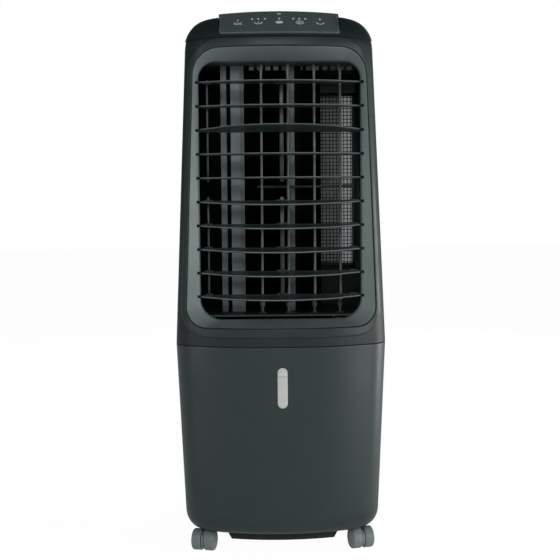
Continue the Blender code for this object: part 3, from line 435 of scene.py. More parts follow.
def round_rect(size, grow=0.0):
    """Front-view outline as matched points: rounded corners, fine steps along the bowed edges."""
    half_top, half_bottom, top, bottom, round_top, round_bottom = size
    slope = (half_bottom - half_top) / (top - bottom)
    high, low = top + grow, bottom - grow
    wide_top, wide_bottom = half_top - slope * grow + grow, half_bottom + slope * grow + grow
    r_top, r_bottom = round_top + grow, round_bottom + grow
    top_x, low_x = wide_top - r_top - slope * r_top, wide_bottom - r_bottom - slope * r_bottom
    corners = (
        ((top_x, high - r_top), r_top), ((-top_x, high - r_top), r_top),
        ((-low_x, low + r_bottom), r_bottom), ((low_x, low + r_bottom), r_bottom),
    )
    edge_steps, side_steps, corner_steps = 36, 12, 16
    points = []
    for i, (centre, radius) in enumerate(corners):
        points += arc(centre, radius, i * pi / 2, (i + 1) * pi / 2, corner_steps)
        after_centre, after_radius = corners[(i + 1) % 4]
        after = arc(after_centre, after_radius, (i + 1) * pi / 2, (i + 2) * pi / 2, corner_steps)[0]
        steps = side_steps if i in (1, 3) else edge_steps
        last = Vector(points[-1])
        points += [tuple(last.lerp(Vector(after), k / steps)) for k in range(1, steps)]
    return points


OPENING = (OPEN_HALF, OPEN_HALF, OPEN_TOP, OPEN_BOTTOM, *OPEN_ROUND)


def prism_y(points, front, back):
    return skinned([[(x, y, z) for x, z in points] for y in (front, back)])


# ---- casing pieces ----
CUT_FRONT, CUT_BACK = -0.3, (0.13, 0.2)    # Y of the cutters' ends, in front and through the back
PAD_OVERLAP, TANK_CLEAR = 0.003, 0.0008
GLAND_HOLE, GLAND_CUT_Y, GLAND_CUT_HALF = 0.0063, 0.165, 0.04
SHELL_EDGE = 0.0004


def rear_opening(rear, node, grow):
    """Cuts a square opening in the rear shell, the node's box grown on all sides."""
    low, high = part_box(node)
    start, end = (low.x - grow, CUT_BACK[0], low.z - grow), (high.x + grow, CUT_BACK[1], high.z + grow)
    carve(rear, box_draft(start, end))


def casing():
    rows = eased(WAIST_Z + GAP, COVER_Z - GAP, FRONT_STEP, WALL, edge=0.0004)
    upper = c_shell("housing_upper", front_half, SPLIT_Y - GAP, rows)
    carve(upper, prism_y(round_rect(SEAM, 0.0035), CUT_FRONT, 0.0))
    piece(upper, "cabinet", "rear_charcoal", "rear_charcoal", "front_housing")

    rows = eased(BODY_BOTTOM, WAIST_Z - GAP, FRONT_STEP, WALL, edge=0.0011)
    lower = c_shell("panel_lower", front_half, SPLIT_Y - GAP, rows)
    carve(lower, prism_y(slot_outline(GAP, 20), CUT_FRONT, -0.1))
    piece(bevel(lower, SHELL_EDGE), "cabinet", "front_charcoal", "front_charcoal", "lower_front_panel")

    rear = c_shell("housing_rear", rear_half, SPLIT_Y, eased(BODY_BOTTOM, COVER_Z - GAP, 0.0, WALL))
    rear_opening(rear, "cooling_pad", -PAD_OVERLAP)
    rear_opening(rear, "water_tank", TANK_CLEAR)
    low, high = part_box("cord_gland")
    place = Matrix.Translation(((low.x + high.x) / 2, GLAND_CUT_Y, (low.z + high.z) / 2))
    hole = bmesh.new()
    bore = [(GLAND_HOLE, -GLAND_CUT_HALF), (GLAND_HOLE, GLAND_CUT_HALF)]
    lathe(hole, bore, place @ Matrix.Rotation(pi / 2, 4, "Z"), 24)
    carve(rear, hole)
    piece(bevel(rear, SHELL_EDGE), "cabinet", "rear_charcoal", "rear_charcoal", "rear_housing")


def cover():
    ease = 0.0002
    levels = [COVER_Z, COVER_Z + ease, COVER_Z + 0.0008]
    rounds = [SHOULDER_Z + SHOULDER_ROUND * sin(a) for a in quarter(14)]
    levels += [z for z in rounds if z > COVER_Z + 0.001]
    outer = [[(x, y, z) for x, y in whole_outline(z, 0.0 if i else ease)] for i, z in enumerate(levels)]
    top = loose("cover_top", to_mesh("cover_top", skinned(outer)))
    inner = [[(x, y, COVER_Z - 0.01) for x, y in whole_outline(COVER_Z, WALL)]]
    inner += [[(x, y, z - WALL) for x, y in whole_outline(z, WALL)] for z in levels[3:]]
    carve(top, skinned(inner))
    carve(top, skinned(plate_loops(grow=0.0006, lift=0.0200)))
    piece(top, "cabinet", "rear_charcoal", "rear_charcoal", "top_cover")


def surround():
    """The raised flange round the outlet: soft outer edge, tighter inner edge."""
    outer_round, inner_round = 0.0022, 0.0018
    profile = [(0.0, 0.0, 0.0)]
    for a in quarter(5):
        profile.append((0.0, outer_round * (1 - cos(a)), FLANGE_PROUD - outer_round * (1 - sin(a))))
    profile += [(share, 0.0, FLANGE_PROUD) for share in (0.3, 0.5, 0.7)]
    for a in quarter(5):
        profile.append((1.0, -inner_round * (1 - sin(a)), FLANGE_PROUD - inner_round * (1 - cos(a))))
    profile.append((1.0, 0.0, 0.0))
    flange, seam = round_rect(FLANGE), round_rect(SEAM)
    loops = []
    for share, shift, proud in profile:
        loop = []
        for outer, inner in zip(flange, seam):
            outer, inner = Vector(outer), Vector(inner)
            x, z = outer.lerp(inner, share + shift / (inner - outer).length)
            loop.append((x, surface_y(x, z, FRONT_STEP - GAP - proud), z))
        loops.append(loop)
    bm = skinned(loops, ring=True)
    fit("surround", bm, "flange_charcoal", "front_charcoal", "outlet_surround", angle=50)


def funnel():
    """From the seam on the bowed front back to the flat opening, with its lip and the pivot slots."""
    seam, opening, outer = round_rect(SEAM, -2 * GAP), round_rect(OPENING), round_rect(OPENING, WALL)
    sink, edge, throat, steps = 0.0014, 0.0015, 0.0035, 4
    columns = []
    for (sx, sz), (ox, oz), (wx, wz) in zip(seam, opening, outer):
        face = surface_y(sx, sz, FRONT_STEP)
        start, end = Vector((sx, face - FLANGE_PROUD + sink, sz)), Vector((ox, OUTLET_Y, oz))
        way = (end - start).normalized()
        column = [Vector((sx, face + 0.003, sz))]
        column += bend(start + Vector((0, edge, 0)), start, start + way * edge, steps)
        first, last = start + way * edge, end - way * throat
        column += [first.lerp(last, k / 6) for k in range(1, 6)]
        column += bend(last, end, end + Vector((0, throat, 0)), steps)
        back = OUTLET_Y + LIP
        column += [Vector((ox, back - 0.0006, oz)), Vector((ox, back, oz)).lerp(Vector((wx, back, wz)), 0.25)]
        column += [Vector((wx, back, wz)), Vector((wx, OUTLET_Y + 0.004, wz))]
        columns.append(column)
    bm = skinned([list(loop) for loop in zip(*columns)], ring=True)
    made = loose("funnel", to_mesh("funnel", bm, 40))
    slots = bmesh.new()
    half, front, deep = 0.0024, -0.1130, 0.0045
    for number in range(1, 11):
        _, y, z = PIVOTS[f"louver_{number:02d}_tilt"]
        for side in (-1, 1):
            x = side * OPEN_HALF
            add_box(slots, (x - deep, front, z - half), (x + deep, y + half, z + half))
    carve(made, slots, angle=40)
    piece(made, "cabinet", "funnel_charcoal", "front_charcoal", "outlet_frame")


# ---- louvers and link rods ----
LOUVER_HALF, STEP_X, LOUVER_STEP = 0.1212, 0.0920, 0.0030
LOUVER_FORWARD, LOUVER_BACK, NOSE = 0.0350, 0.0100, 0.00125
PIN_BACK = 0.0150
TILTS = {3: -12.5, 6: 8, 7: 8, 8: 8, 9: 8, 10: 8}
ROD_PLACES = ((0.0030, 0.0060, 0.0048), (-0.1100, 0.0032, 0.0034))    # X, width, width of each ear


def slat_section(front):
    """Section from the rounded nose over the top to the thin back edge and under again."""
    tail = 0.0008
    nose = [(front + NOSE - NOSE * cos(a), NOSE * sin(a)) for a in (pi / 2 * k / 4 for k in range(-4, 5))]
    top = [(front * 0.45, NOSE * 0.96), (0.0, NOSE * 0.86)]
    angles = [pi / 2 - pi * k / 6 for k in range(7)]
    back = [(LOUVER_BACK - tail + tail * cos(a), tail * sin(a)) for a in angles]
    return nose + top + back + [(y, -z) for y, z in top[::-1]]


def slat_fronts():
    """(x, front edge) along a louver: bowed, with the middle part a step further forward."""
    ramp = 0.0012
    stations = [-LOUVER_HALF, -LOUVER_HALF + 0.0008, -0.1080, -STEP_X - ramp, -STEP_X + ramp]
    stations += [STEP_X * (2 * i / 26 - 1) for i in range(1, 26)]
    stations += [-x for x in stations[4::-1]]
    fronts = []
    for x in stations:
        step = LOUVER_STEP if abs(x) > STEP_X else 0.0
        end = 0.0006 if abs(x) > LOUVER_HALF - 0.0004 else 0.0
        fronts.append((x, -LOUVER_FORWARD + BOW_RADIUS - sqrt(BOW_RADIUS**2 - x**2) + step + end))
    return fronts


def nose_highlight_mesh():
    """A painted highlight: the paler strip over the upper half of the nose, where light from above falls."""
    steps, over, under = 5, 0.00012, 0.0005
    angles = [radians(5 + 105 * k / steps) for k in range(steps + 1)]
    loops = []
    for x, front in slat_fronts()[1:-1]:
        loop = []
        for r, row in ((NOSE + over, angles), (NOSE - under, angles[::-1])):
            loop += [(x, front + NOSE - r * cos(a), r * sin(a)) for a in row]
        loops.append(loop)
    bm = skinned(loops)
    return to_mesh("trim", bm, 50)


def slat_mesh(clips):
    loops = [[(x, y, z) for y, z in slat_section(front)] for x, front in slat_fronts()]
    bm = skinned(loops)
    reach, tip, full, ease = LOUVER_HALF + 0.0038, 0.0012, 0.0017, 0.0006
    spine = [(tip, -reach), (full, -reach + ease), (full, reach - ease), (tip, reach)]
    lathe(bm, spine, Matrix.Identity(4), 16)
    tab_low, tab_high = LOUVER_BACK - 0.002, LOUVER_BACK + 0.0050
    rounded_bar(bm, (0.1065, tab_low, -0.0002), (0.1195, tab_high, 0.0016), 0.0005, along=0)
    if clips:
        half, play, grip, pin = 0.0016, 0.0007, 0.0015, 0.0012
        for x, width, ear in ROD_PLACES:
            for side in (-1, 1):
                near, far = x + side * (width / 2 + play), x + side * (width / 2 + play + ear)
                low = min(near, far), LOUVER_BACK - 0.003, -half
                high = max(near, far), PIN_BACK + 0.0022, half
                rounded_bar(bm, low, high, 0.0006, along=1)
            place = Matrix.Translation((x, PIN_BACK, 0))
            lathe(bm, [(pin, -width / 2 - grip), (pin, width / 2 + grip)], place, 12)
    return to_mesh("slat", bm, 42)


def louvers():
    clipped, free, trim = slat_mesh(True), slat_mesh(False), nose_highlight_mesh()
    for number in range(1, 11):
        node = f"louver_{number:02d}"
        _, y, z = PIVOTS[f"{node}_tilt"]
        slat = loose(f"slat_{number:02d}", (free if number == 3 else clipped).copy())
        strip = loose(f"slat_nose_highlight_{number:02d}", trim.copy())
        tilt = Matrix.Rotation(radians(TILTS.get(number, 0)), 4, "X")
        for obj in (slat, strip):
            obj.matrix_basis = Matrix.Translation((0, y, z)) @ tilt
        piece(slat, node, "louver_black", "louver_black", node)
        piece(strip, node, "louver_trim", "louver_black")


def link_rods():
    for kind in ("centre", "side"):
        for group in ("upper", "lower"):
            node = f"{kind}_link_rod_{group}"
            low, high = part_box(node)
            bm = bmesh.new()
            rounded_bar(bm, low, high, 0.0010, along=2)
            fit(f"rod_{kind}_{group}", bm, "louver_black", "louver_black", node, body=node)


# ---- upright vanes ----
VANE_BEAD, VANE_HALF_CHORD, VANE_THIN = 0.0019, 0.0170, 0.0010
VANE_CLEAR = (0.0220, 0.0125)    # from the ends of the node's box to the blade's bottom and top


def vane_section():
    """(x, y) round the blade: a round bead in front and a thin eased edge behind."""
    bead, back, thin = VANE_BEAD, VANE_HALF_CHORD, VANE_THIN
    angles = [radians(40) - radians(260) * k / 12 for k in range(13)]
    front = [(bead * cos(a), -back + bead + bead * sin(a)) for a in angles]
    edge = [(0.7, back - 0.0008), (0.3, back)]
    return front + [(-thin * t, y) for t, y in edge] + [(thin * t, y) for t, y in edge[::-1]]


def vane_blade(node, bottom, top, link_z):
    ease, notch_half = 0.0006, 0.0050
    loop = vane_section()
    bm = skinned([[(x, y, z) for x, y in loop] for z in (bottom, bottom + ease, top - ease, top)])
    made = loose(f"vane_blade_{node[-1]}", to_mesh(node, bm, 50))
    near, far = VANE_HALF_CHORD - 0.0185, VANE_HALF_CHORD + 0.01
    carve(made, box_draft((-0.01, near, link_z - notch_half), (0.01, far, link_z + notch_half)), angle=50)
    return made


def vane_pivots(node, bottom, top, ends, link_z):
    """The turned knob over the blade, the ball under it and the pin that the link bar hangs on."""
    bm = bmesh.new()
    knob = [(0.0011, -0.0010), (0.0026, 0.0005), (0.0034, 0.0030), (0.0034, 0.0060), (0.0026, 0.0085)]
    knob += [(0.0020, 0.0098), (0.0020, ends[1] - top)]
    lathe(bm, knob, Matrix.Translation((0, 0, top)) @ UPRIGHT, 24)
    ball = [(0.0020, ends[0] - bottom), (0.0020, -0.0118), (0.0024, -0.0108), (0.0036, -0.0088)]
    ball += [(0.0042, -0.0062), (0.0038, -0.0035), (0.0026, -0.0014), (0.0016, 0.0), (0.0012, 0.0020)]
    lathe(bm, ball, Matrix.Translation((0, 0, bottom)) @ UPRIGHT, 24)
    pin, reach = 0.0012, 0.0062
    lathe(bm, [(pin, -reach), (pin, reach)], Matrix.Translation((0, 0.0100, link_z)) @ UPRIGHT, 12)
    return loose(f"vane_pivots_{node[-1]}", to_mesh("pivots", bm, 50))


def vanes():
    link_low, link_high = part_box("vane_link_bar")
    link_z = (link_low.z + link_high.z) / 2
    for number in range(1, 5):
        node = f"vane_{number}"
        x, y, _ = PIVOTS[f"{node}_swing"]
        low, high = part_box(node)
        bottom, top = low.z + VANE_CLEAR[0], high.z - VANE_CLEAR[1]
        blade = vane_blade(node, bottom, top, link_z)
        pivots = vane_pivots(node, bottom, top, (low.z, high.z), link_z)
        for obj in (blade, pivots):
            obj.matrix_basis = Matrix.Translation((x, y, 0))
        piece(blade, node, "vane_grey", "louver_black")
        piece(pivots, node, "vane_grey", "louver_black", node)


# ---- air path ----
def ribbon(path, thick):
    points = [Vector(p) for p in path]
    left, right = [], []
    for i, point in enumerate(points):
        before = (point - points[i - 1]).normalized() if i else None
        after = (points[i + 1] - point).normalized() if i < len(points) - 1 else None
        heading = ((before or after) + (after or before)).normalized()
        stretch = 1 / max(0.35, heading.dot(after or before))
        normal = Vector((-heading.y, heading.x)) * thick / 2 * stretch
        left.append(tuple(point + normal))
        right.append(tuple(point - normal))
    return left + right[::-1]


def upright_wall(name, path, thick, box, look, *nodes):
    bm = skinned([[(x, y, z) for x, y in ribbon(path, thick)] for z in (box[0].z, box[1].z)])
    made = bevel(loose(name, to_mesh(name, bm, 30)), 0.0005, 3, 30)
    piece(made, "cabinet", look, "duct_grey", *nodes)


def scroll():
    """The scroll's wall with its two front lips and the groove between them, and the tongue opposite."""
    wheel_x, wheel_y, _ = PIVOTS["blower_spin"]
    wheel_low, wheel_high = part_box("blower_wheel")
    walls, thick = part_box("volute_wall"), 0.0030
    lips = walls[0].y + thick / 2
    # The groove between the lips is near black: painted shade in the recess.
    outer = [(-0.0907, 0.0), (-0.0829, 0.0), (-0.0824, 0.0040)]
    groove = [outer[-1], (-0.0824, 0.0130), (-0.0742, 0.0130), (-0.0738, 0.0040)]
    inner = [groove[-1], (-0.0737, 0.0), (-0.0609, 0.0), (-0.0600, 0.0006), (-0.0545, 0.0022)]
    parts = ("outer", "duct_grey", outer), ("groove", "inner_black", groove), ("inner", "lip_grey", inner)
    for name, look, path in parts:
        upright_wall(f"lip_{name}", [(x, lips + back) for x, back in path], thick, walls, look)
    path = [(-0.0545, lips + 0.0022), (-0.0505, lips + 0.0090), (-0.0470, lips + 0.0200)]
    sweep = (wheel_high.x - wheel_low.x) / 2 + 0.0095
    path += arc((wheel_x, wheel_y), sweep, radians(190), radians(85), 40)
    upright_wall("scroll_wall", path, thick, walls, "inner_black", "volute_wall")

    box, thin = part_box("volute_tongue"), 0.0026
    front = box[0].y + thin / 2
    nose = bend((0.0136, front + 0.0008), (0.0185, front - 0.0004), (0.0245, front + 0.0006), 6)
    rest = bend((0.0245, front + 0.0006), (0.0300, front + 0.0010), (0.0340, front + 0.0026), 4)
    upright_wall("tongue_nose", [tuple(p) for p in nose], thin, box, "lip_grey", "volute_tongue")
    upright_wall("tongue_rest", [tuple(p) for p in rest], thin, box, "inner_black")


def blower():
    """The drum: three rings, curved blades between them and the shaft."""
    wheel_x, wheel_y, _ = PIVOTS["blower_spin"]
    low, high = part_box("blower_wheel")
    radius = (high.x - low.x) / 2
    bottom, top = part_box("duct_floor")[1].z + 0.0055 - 0.0016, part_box("duct_ceiling")[0].z - 0.0065
    hub, shaft, ring, ease = 0.006, 0.004, 0.003, 0.0006
    centre = Matrix.Translation((wheel_x, wheel_y, 0))
    upright = centre @ UPRIGHT
    rim = radius - ease
    section = ((hub, 0.0), (rim, 0.0), (radius, ease), (radius, ring - ease), (rim, ring), (hub, ring))
    bm = bmesh.new()
    for z in (bottom, (bottom + top) / 2, top - ring):
        lathe(bm, [(r, z + up) for r, up in section], upright, 72)
    blades, bend_radius, thick = 36, 0.0125, 0.0011
    loop = ribbon(arc((radius - bend_radius, 0.0110), bend_radius, radians(-75), radians(-15), 5), thick)
    for i in range(blades):
        turn = centre @ Matrix.Rotation(2 * pi * i / blades, 4, "Z")
        skin(bm, [[turn @ Vector((x, y, z)) for x, y in loop] for z in (bottom + 0.001, top - 0.001)])
    lathe(bm, [(shaft, low.z), (shaft, high.z)], upright, 24)
    fit("blower_cage", bm, "blower_black", "blower_black", "blower_wheel", body="blower_wheel")


def ceiling_ribs():
    """A row of short ribs under the front of the duct's ceiling, pale as painted glints."""
    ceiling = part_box("duct_ceiling")[0].z
    count, pitch, start, front, back = 13, 0.0128, -0.0460, -0.0330, -0.0290
    bm = bmesh.new()
    for i in range(count):
        x = start + i * pitch
        high = x + pitch * 0.62, back, ceiling + 0.0005
        rounded_bar(bm, (x, front, ceiling - 0.0062), high, 0.0016, along=0)
    fit("ceiling_ribs", bm, "rib_grey", "duct_grey")


def pad_lattice():
    """A net of square cells in front of the closed fibre block, which glows as painted backlight: dimly over
    most of it, brightly at its right end.
    """
    low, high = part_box("cooling_pad")
    pitch, wall, rim = 0.0062, 0.0010, 0.0040
    front, sheet, back = low.y + 0.016, low.y + 0.022, high.y
    bm = bmesh.new()
    for left, right in ((low.x, low.x + rim), (high.x - rim, high.x)):
        add_box(bm, (left, front, low.z), (right, back, high.z))
    for bottom, top in ((low.z, low.z + rim), (high.z - rim, high.z)):
        add_box(bm, (low.x, front, bottom), (high.x, back, top))
    columns, rows = int((high.x - low.x) / pitch), int((high.z - low.z) / pitch)
    near, far, inset = front + 0.0005, sheet + 0.001, 0.001
    for i in range(1, columns + 1):
        x = low.x + (high.x - low.x) * i / (columns + 1)
        add_box(bm, (x - wall / 2, near, low.z + inset), (x + wall / 2, far, high.z - inset))
    for j in range(1, rows + 1):
        z = low.z + (high.z - low.z) * j / (rows + 1)
        add_box(bm, (low.x + inset, near, z - wall / 2), (high.x - inset, far, z + wall / 2))
    fit("pad_lattice", bm, "pad_brown", "pad_brown", "cooling_pad")
    backlight_split_x, inner = 0.1062, rim - 0.0005
    for name, look, left, right, near, far in (
        ("pad_fibre_wet", "pad_wet", low.x + inner, backlight_split_x, sheet, back - 0.004),
        ("pad_fibre_dry", "pad_dry", backlight_split_x, high.x - inner, sheet, back - 0.004),
        ("pad_backing", "pad_brown", low.x + inner, high.x - inner, back - 0.004, back - 0.001),
    ):
        fit(name, box_draft((left, near, low.z + inner), (right, far, high.z - inner)), look, "pad_brown")


# ---- window, controls ----
def slot_outline(grow=0.0, steps=16):
    low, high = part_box("level_window")
    radius, middle = (high.x - low.x) / 2, (low.z + high.z) / 2
    reach = (high.z - low.z) / 2 - radius
    return (
        arc((0, middle + reach), radius + grow, 0.0001, pi - 0.0001, steps)
        + arc((0, middle - reach), radius + grow, pi + 0.0001, 2 * pi - 0.0001, steps)
    )


def window():
    low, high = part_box("level_window")
    edge = 0.0012
    loops = [[(x, high.y, z) for x, z in slot_outline()]]
    for a in quarter(5):
        loops.append([(x, low.y + edge * (1 - sin(a)), z) for x, z in slot_outline(-edge * (1 - cos(a)))])
    fit("window_lens", skinned(loops), "window_grey", "window_grey", "level_window", angle=50)
    half = (high.x - low.x) / 2
    marks = (    # name, look, left, right, and how far the two long edges are under the window's top
        ("window_line", "led_white", -half + 0.0006, half - 0.0006, 0.0156, 0.0140),
        ("window_line_shade", "window_shade", -half + 0.0008, half - 0.0008, 0.0139, 0.0131),
        ("window_patch_left", "led_white", -half + 0.0018, -0.0008, 0.0108, 0.0082),
        ("window_patch_right", "led_white", 0.0002, half - 0.0016, 0.0108, 0.0082),
    )
    for name, look, left, right, bottom, top in marks:
        bm = bmesh.new()
        corner = right, low.y + 0.0010, high.z - top
        rounded_bar(bm, (left, low.y - 0.0001, high.z - bottom), corner, 0.00025, along=0)
        fit(name, bm, look, "window_grey")


PLATE_HALF, PLATE_SAG, PLATE_CORNER, PLATE_CUT = 0.0905, 0.0030, 0.0040, 0.10
PLATE_LOW, PLATE_HIGH = Vector((-0.1465, 0.7866)), Vector((-0.1010, TOP_Z + 0.0072))


def plate_profile(x, cut_back):
    """Corners in Y and Z of the control plate's section, which hangs lowest in the middle."""
    rise = Vector((0, PLATE_SAG * (x / PLATE_HALF) ** 2))
    low = (PLATE_LOW + rise).lerp(PLATE_HIGH, cut_back)
    under = (Vector((-0.1400, PLATE_LOW.y - 0.0020)) + rise).lerp(PLATE_HIGH, cut_back)
    back = Vector((-0.0935, TOP_Z + 0.0062)), Vector((-0.0900, TOP_Z - 0.0085))
    return [low, PLATE_HIGH.copy(), *back, under]


def grown(profile, distance):
    """The section's corners moved away from its middle, or towards it."""
    middle = sum(profile, Vector((0, 0))) / len(profile)
    return [p + (p - middle).normalized() * distance for p in profile]


def plate_place(x, profile):
    bow = BOW_RADIUS - sqrt(BOW_RADIUS**2 - x**2)
    drop = 0.0020 * (x / PLATE_HALF) ** 2
    return [(x, p.x + bow, p.y - drop) for p in profile]


def plate_loops(grow, lift):
    """The plate's coarse shape grown by the gap, with the sloped face lifted clear: its seat in the cover."""
    steps = 24
    half = PLATE_HALF + grow
    inner = half - PLATE_CORNER
    loops = []
    for x in [-half, *[inner * (2 * i / steps - 1) for i in range(steps + 1)], half]:
        profile = plate_profile(x, PLATE_CUT if abs(x) > inner + PLATE_CORNER / 2 else 0.0)
        slope = (profile[1] - profile[0]).normalized()
        profile = grown(profile, grow)
        clear = Vector((-slope.y, slope.x)) * lift
        profile[1:1] = [profile[0] + clear, profile[1] + clear]
        loops.append(plate_place(x, profile))
    return loops


def rounded_profile(profile, radius, steps=4):
    made, shares = [], [k / steps for k in range(steps + 1)]
    for i, point in enumerate(profile):
        before, after = profile[i - 1], profile[(i + 1) % len(profile)]
        first = point + (before - point).normalized() * min(radius, (before - point).length * 0.45)
        last = point + (after - point).normalized() * min(radius, (after - point).length * 0.45)
        made += [first.lerp(point, t).lerp(point.lerp(last, t), t) for t in shares]
    return made


def control_plate():
    edge, steps = 0.0012, 20
    inner = PLATE_HALF - PLATE_CORNER
    stations = [PLATE_HALF - x for x in (0.0, 0.0002, 0.0006, 0.0012, 0.0020, 0.0030)]
    stations += [inner * (1 - i / steps) for i in range(steps + 1)]
    stations += [-x for x in stations[-2::-1]]
    loops = []
    for x in stations:
        distance = PLATE_HALF - abs(x)
        profile = plate_profile(x, PLATE_CUT * max(0.0, 1 - distance / PLATE_CORNER) ** 1.5)
        shrink = edge * (1 - sqrt(max(0.0, 1 - (1 - min(1.0, distance / edge)) ** 2)))
        loops.append(plate_place(x, rounded_profile(grown(profile, -shrink), 0.0014)))
    fit("control_panel", skinned(loops), "control_charcoal", "control_charcoal", "control_plate", angle=45)


def on_plate(u, t, lift):
    """A point on the plate's sloped face: u along X in metres, t from its lower to its upper edge."""
    low = PLATE_LOW + Vector((0, PLATE_SAG * (u / PLATE_HALF) ** 2))
    point = low.lerp(PLATE_HIGH, t)
    slope = (PLATE_HIGH - low).normalized()
    point = point + Vector((-slope.y, slope.x)) * lift
    return plate_place(u, [point])[0]


PLATE_LENGTH = (PLATE_HIGH - PLATE_LOW).length
INK_LIFTS = (-0.0001, 0.00012)    # under the plate's face and above it


def ink_band(bm, path, width):
    """A raised line through (along X, up the slope) points in metres."""
    loop = ribbon(path, width)
    rows = []
    for a, b in zip(loop[:len(path)], loop[len(path):][::-1]):
        corners = ((a, 0), (b, 0), (b, 1), (a, 1))
        rows.append([on_plate(p[0], p[1] / PLATE_LENGTH, INK_LIFTS[i]) for p, i in corners])
    skin(bm, rows)


def ink_disc(bm, u, v, wide, high, sides=24):
    loop = [(u + wide * cos(a), v + high * sin(a)) for a in (2 * pi * k / sides for k in range(sides))]
    skin(bm, [[on_plate(a, b / PLATE_LENGTH, lift) for a, b in loop] for lift in INK_LIFTS])


def ink_arc(bm, u, v, wide, high, start, sweep, steps, width):
    angles = [start + sweep * k / steps for k in range(steps + 1)]
    ink_band(bm, [(u + wide * cos(a), v + high * sin(a)) for a in angles], width)


def icons():
    """Generic symbols as thin raised ink: swing, timer, fan speed, mode and off, with dots over them."""
    row, dots, dot = 0.470 * PLATE_LENGTH, 0.640 * PLATE_LENGTH, 0.0016
    swing, timer, fan, mode, off = -0.0618, -0.0311, 0.0, 0.0305, 0.0612
    bm = bmesh.new()
    for u in (-0.0402, timer, -0.0213, fan, 0.0210, 0.0300, 0.0388, 0.0610):
        ink_disc(bm, u, dots, dot, dot * 1.35)
    ink_disc(bm, swing, dots - 0.0016, 0.0016, dot)
    wide, high, steps = 0.0125, 0.0016, 20
    wave = [(k / steps - 0.5, cos(4 * pi * k / steps)) for k in range(steps + 1)]
    ink_band(bm, [(swing + wide * u, row + high * v) for u, v in wave], 0.0013)
    ink_band(bm, [(swing + wide * u, row - 0.0036) for u, _ in wave[::2]], 0.0010)
    for u, wide in ((timer, 0.0056), (off, 0.0054)):
        ink_arc(bm, u, row + 0.0012, wide, 0.0048, pi, pi, 16, 0.0016)
    ink_band(bm, [(timer, row - 0.0015), (timer, row + 0.0030)], 0.0014)
    ink_disc(bm, fan, row, 0.0056, 0.0034)
    for wide, high in ((0.0056, 0.0042), (0.0026, 0.0018)):
        ink_arc(bm, mode, row, wide, high, 0, 2 * pi, 24, 0.0010)
    fit("panel_icons", bm, "ink_pale", "control_charcoal")


def panel_rim():
    """A painted highlight: the pale line along the plate's lower edge and up both sides."""
    side, foot, top, steps, side_steps = PLATE_HALF - 0.0032, 0.0021, 0.92 * PLATE_LENGTH, 40, 8
    bm = bmesh.new()
    ink_band(bm, [(side * (2 * i / steps - 1), foot) for i in range(steps + 1)], 0.0011)
    for edge in (-side, side):
        ink_band(bm, [(edge, foot + (top - foot) * i / side_steps) for i in range(side_steps + 1)], 0.0006)
    fit("panel_rim", bm, "panel_rim_grey", "control_charcoal")


def panel_led():
    bar, apart, half = 0.865 * PLATE_LENGTH, 0.0014, 0.0013
    bm = bmesh.new()
    for u in (-apart, apart):
        ink_band(bm, [(u - half, bar), (u + half, bar)], 2 * half)
    fit("panel_led", bm, "led_white", "control_charcoal")


# ---- casters ----
CASTER_RADIUS, CASTER_WIDTH, CASTER_GAP = 0.0165, 0.0150, 0.0055


def wheel_section():
    """(radius, along) of one wheel, from the inner face over the tread to the stepped cap outside."""
    radius, inner, outer = CASTER_RADIUS, CASTER_GAP / 2, CASTER_GAP / 2 + CASTER_WIDTH
    section = [(0.0030, inner), (radius - 0.0010, inner), (radius - 0.0003, inner + 0.0003)]
    section += [(radius, inner + 0.0010), (radius, inner + 0.0060), (radius, outer - 0.0036)]
    shoulder, cap = 0.0030, outer - 0.0004
    for a in quarter(7):
        section.append((radius - shoulder * (1 - cos(a)), cap - shoulder * (1 - sin(a))))
    section += [(0.0138, cap), (0.0132, outer - 0.0010), (0.0122, outer - 0.0010)]
    return section + [(0.0116, outer - 0.0003), (0.0085, outer), (0.0030, outer), (0.0004, outer - 0.0002)]


def caster(place):
    """Twin wheels on an axle, the curved web between them and the stem that the web swivels on."""
    pivot, centre = Vector(PIVOTS[f"caster_swivel_{place}"]), Vector(PIVOTS[f"caster_roll_{place}"])
    axis = Vector(JOINTS[f"caster_roll_{place}"]["axis"])
    wheels, fork = f"caster_wheels_{place}", f"caster_fork_{place}"
    turn = Matrix.Rotation(atan2(axis.y, axis.x), 4, "Z")

    hub = Matrix.Translation(centre) @ turn
    bm = bmesh.new()
    for side in (-1, 1):
        lathe(bm, [(r, side * x) for r, x in wheel_section()], hub, 64)
    axle, reach = 0.0028, CASTER_GAP / 2 + 0.001
    lathe(bm, [(axle, -reach), (axle, reach)], hub, 24)
    fit(f"twin_wheels_{place}", bm, "caster_grey", "caster_grey", wheels, body=wheels, angle=40)

    body = Matrix.Translation((pivot.x, pivot.y, 0)) @ turn
    trail, web, neck, top = (centre - pivot).xy.length, 0.0019, 0.0060, 0.0336
    outline = arc((trail, CASTER_RADIUS), 0.0148, radians(-190), radians(40), 28)
    outline += [(neck, top), (-neck, top), (-neck, 0.0276)]
    bm = skinned([[body @ Vector((x, y, z)) for y, z in outline] for x in (-web, web)])
    made = bevel(loose(f"caster_body_{place}", to_mesh("web", bm, 30)), 0.0004, 2)
    piece(made, fork, "caster_grey", "caster_grey")

    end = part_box(fork)[1].z
    stem = [(0.0052, 0.0330), (0.0062, 0.0334), (0.0062, 0.0342), (0.0059, 0.0344), (0.0054, 0.0345)]
    stem += [(0.0054, end - 0.0008), (0.0046, end)]
    bm = bmesh.new()
    lathe(bm, stem, body @ UPRIGHT, 32)
    fit(f"caster_stem_{place}", bm, "base_black", "caster_grey", fork, body=fork, angle=40)


# ---- what stays from the frame ----
WELD_DISTANCE = 0.00001
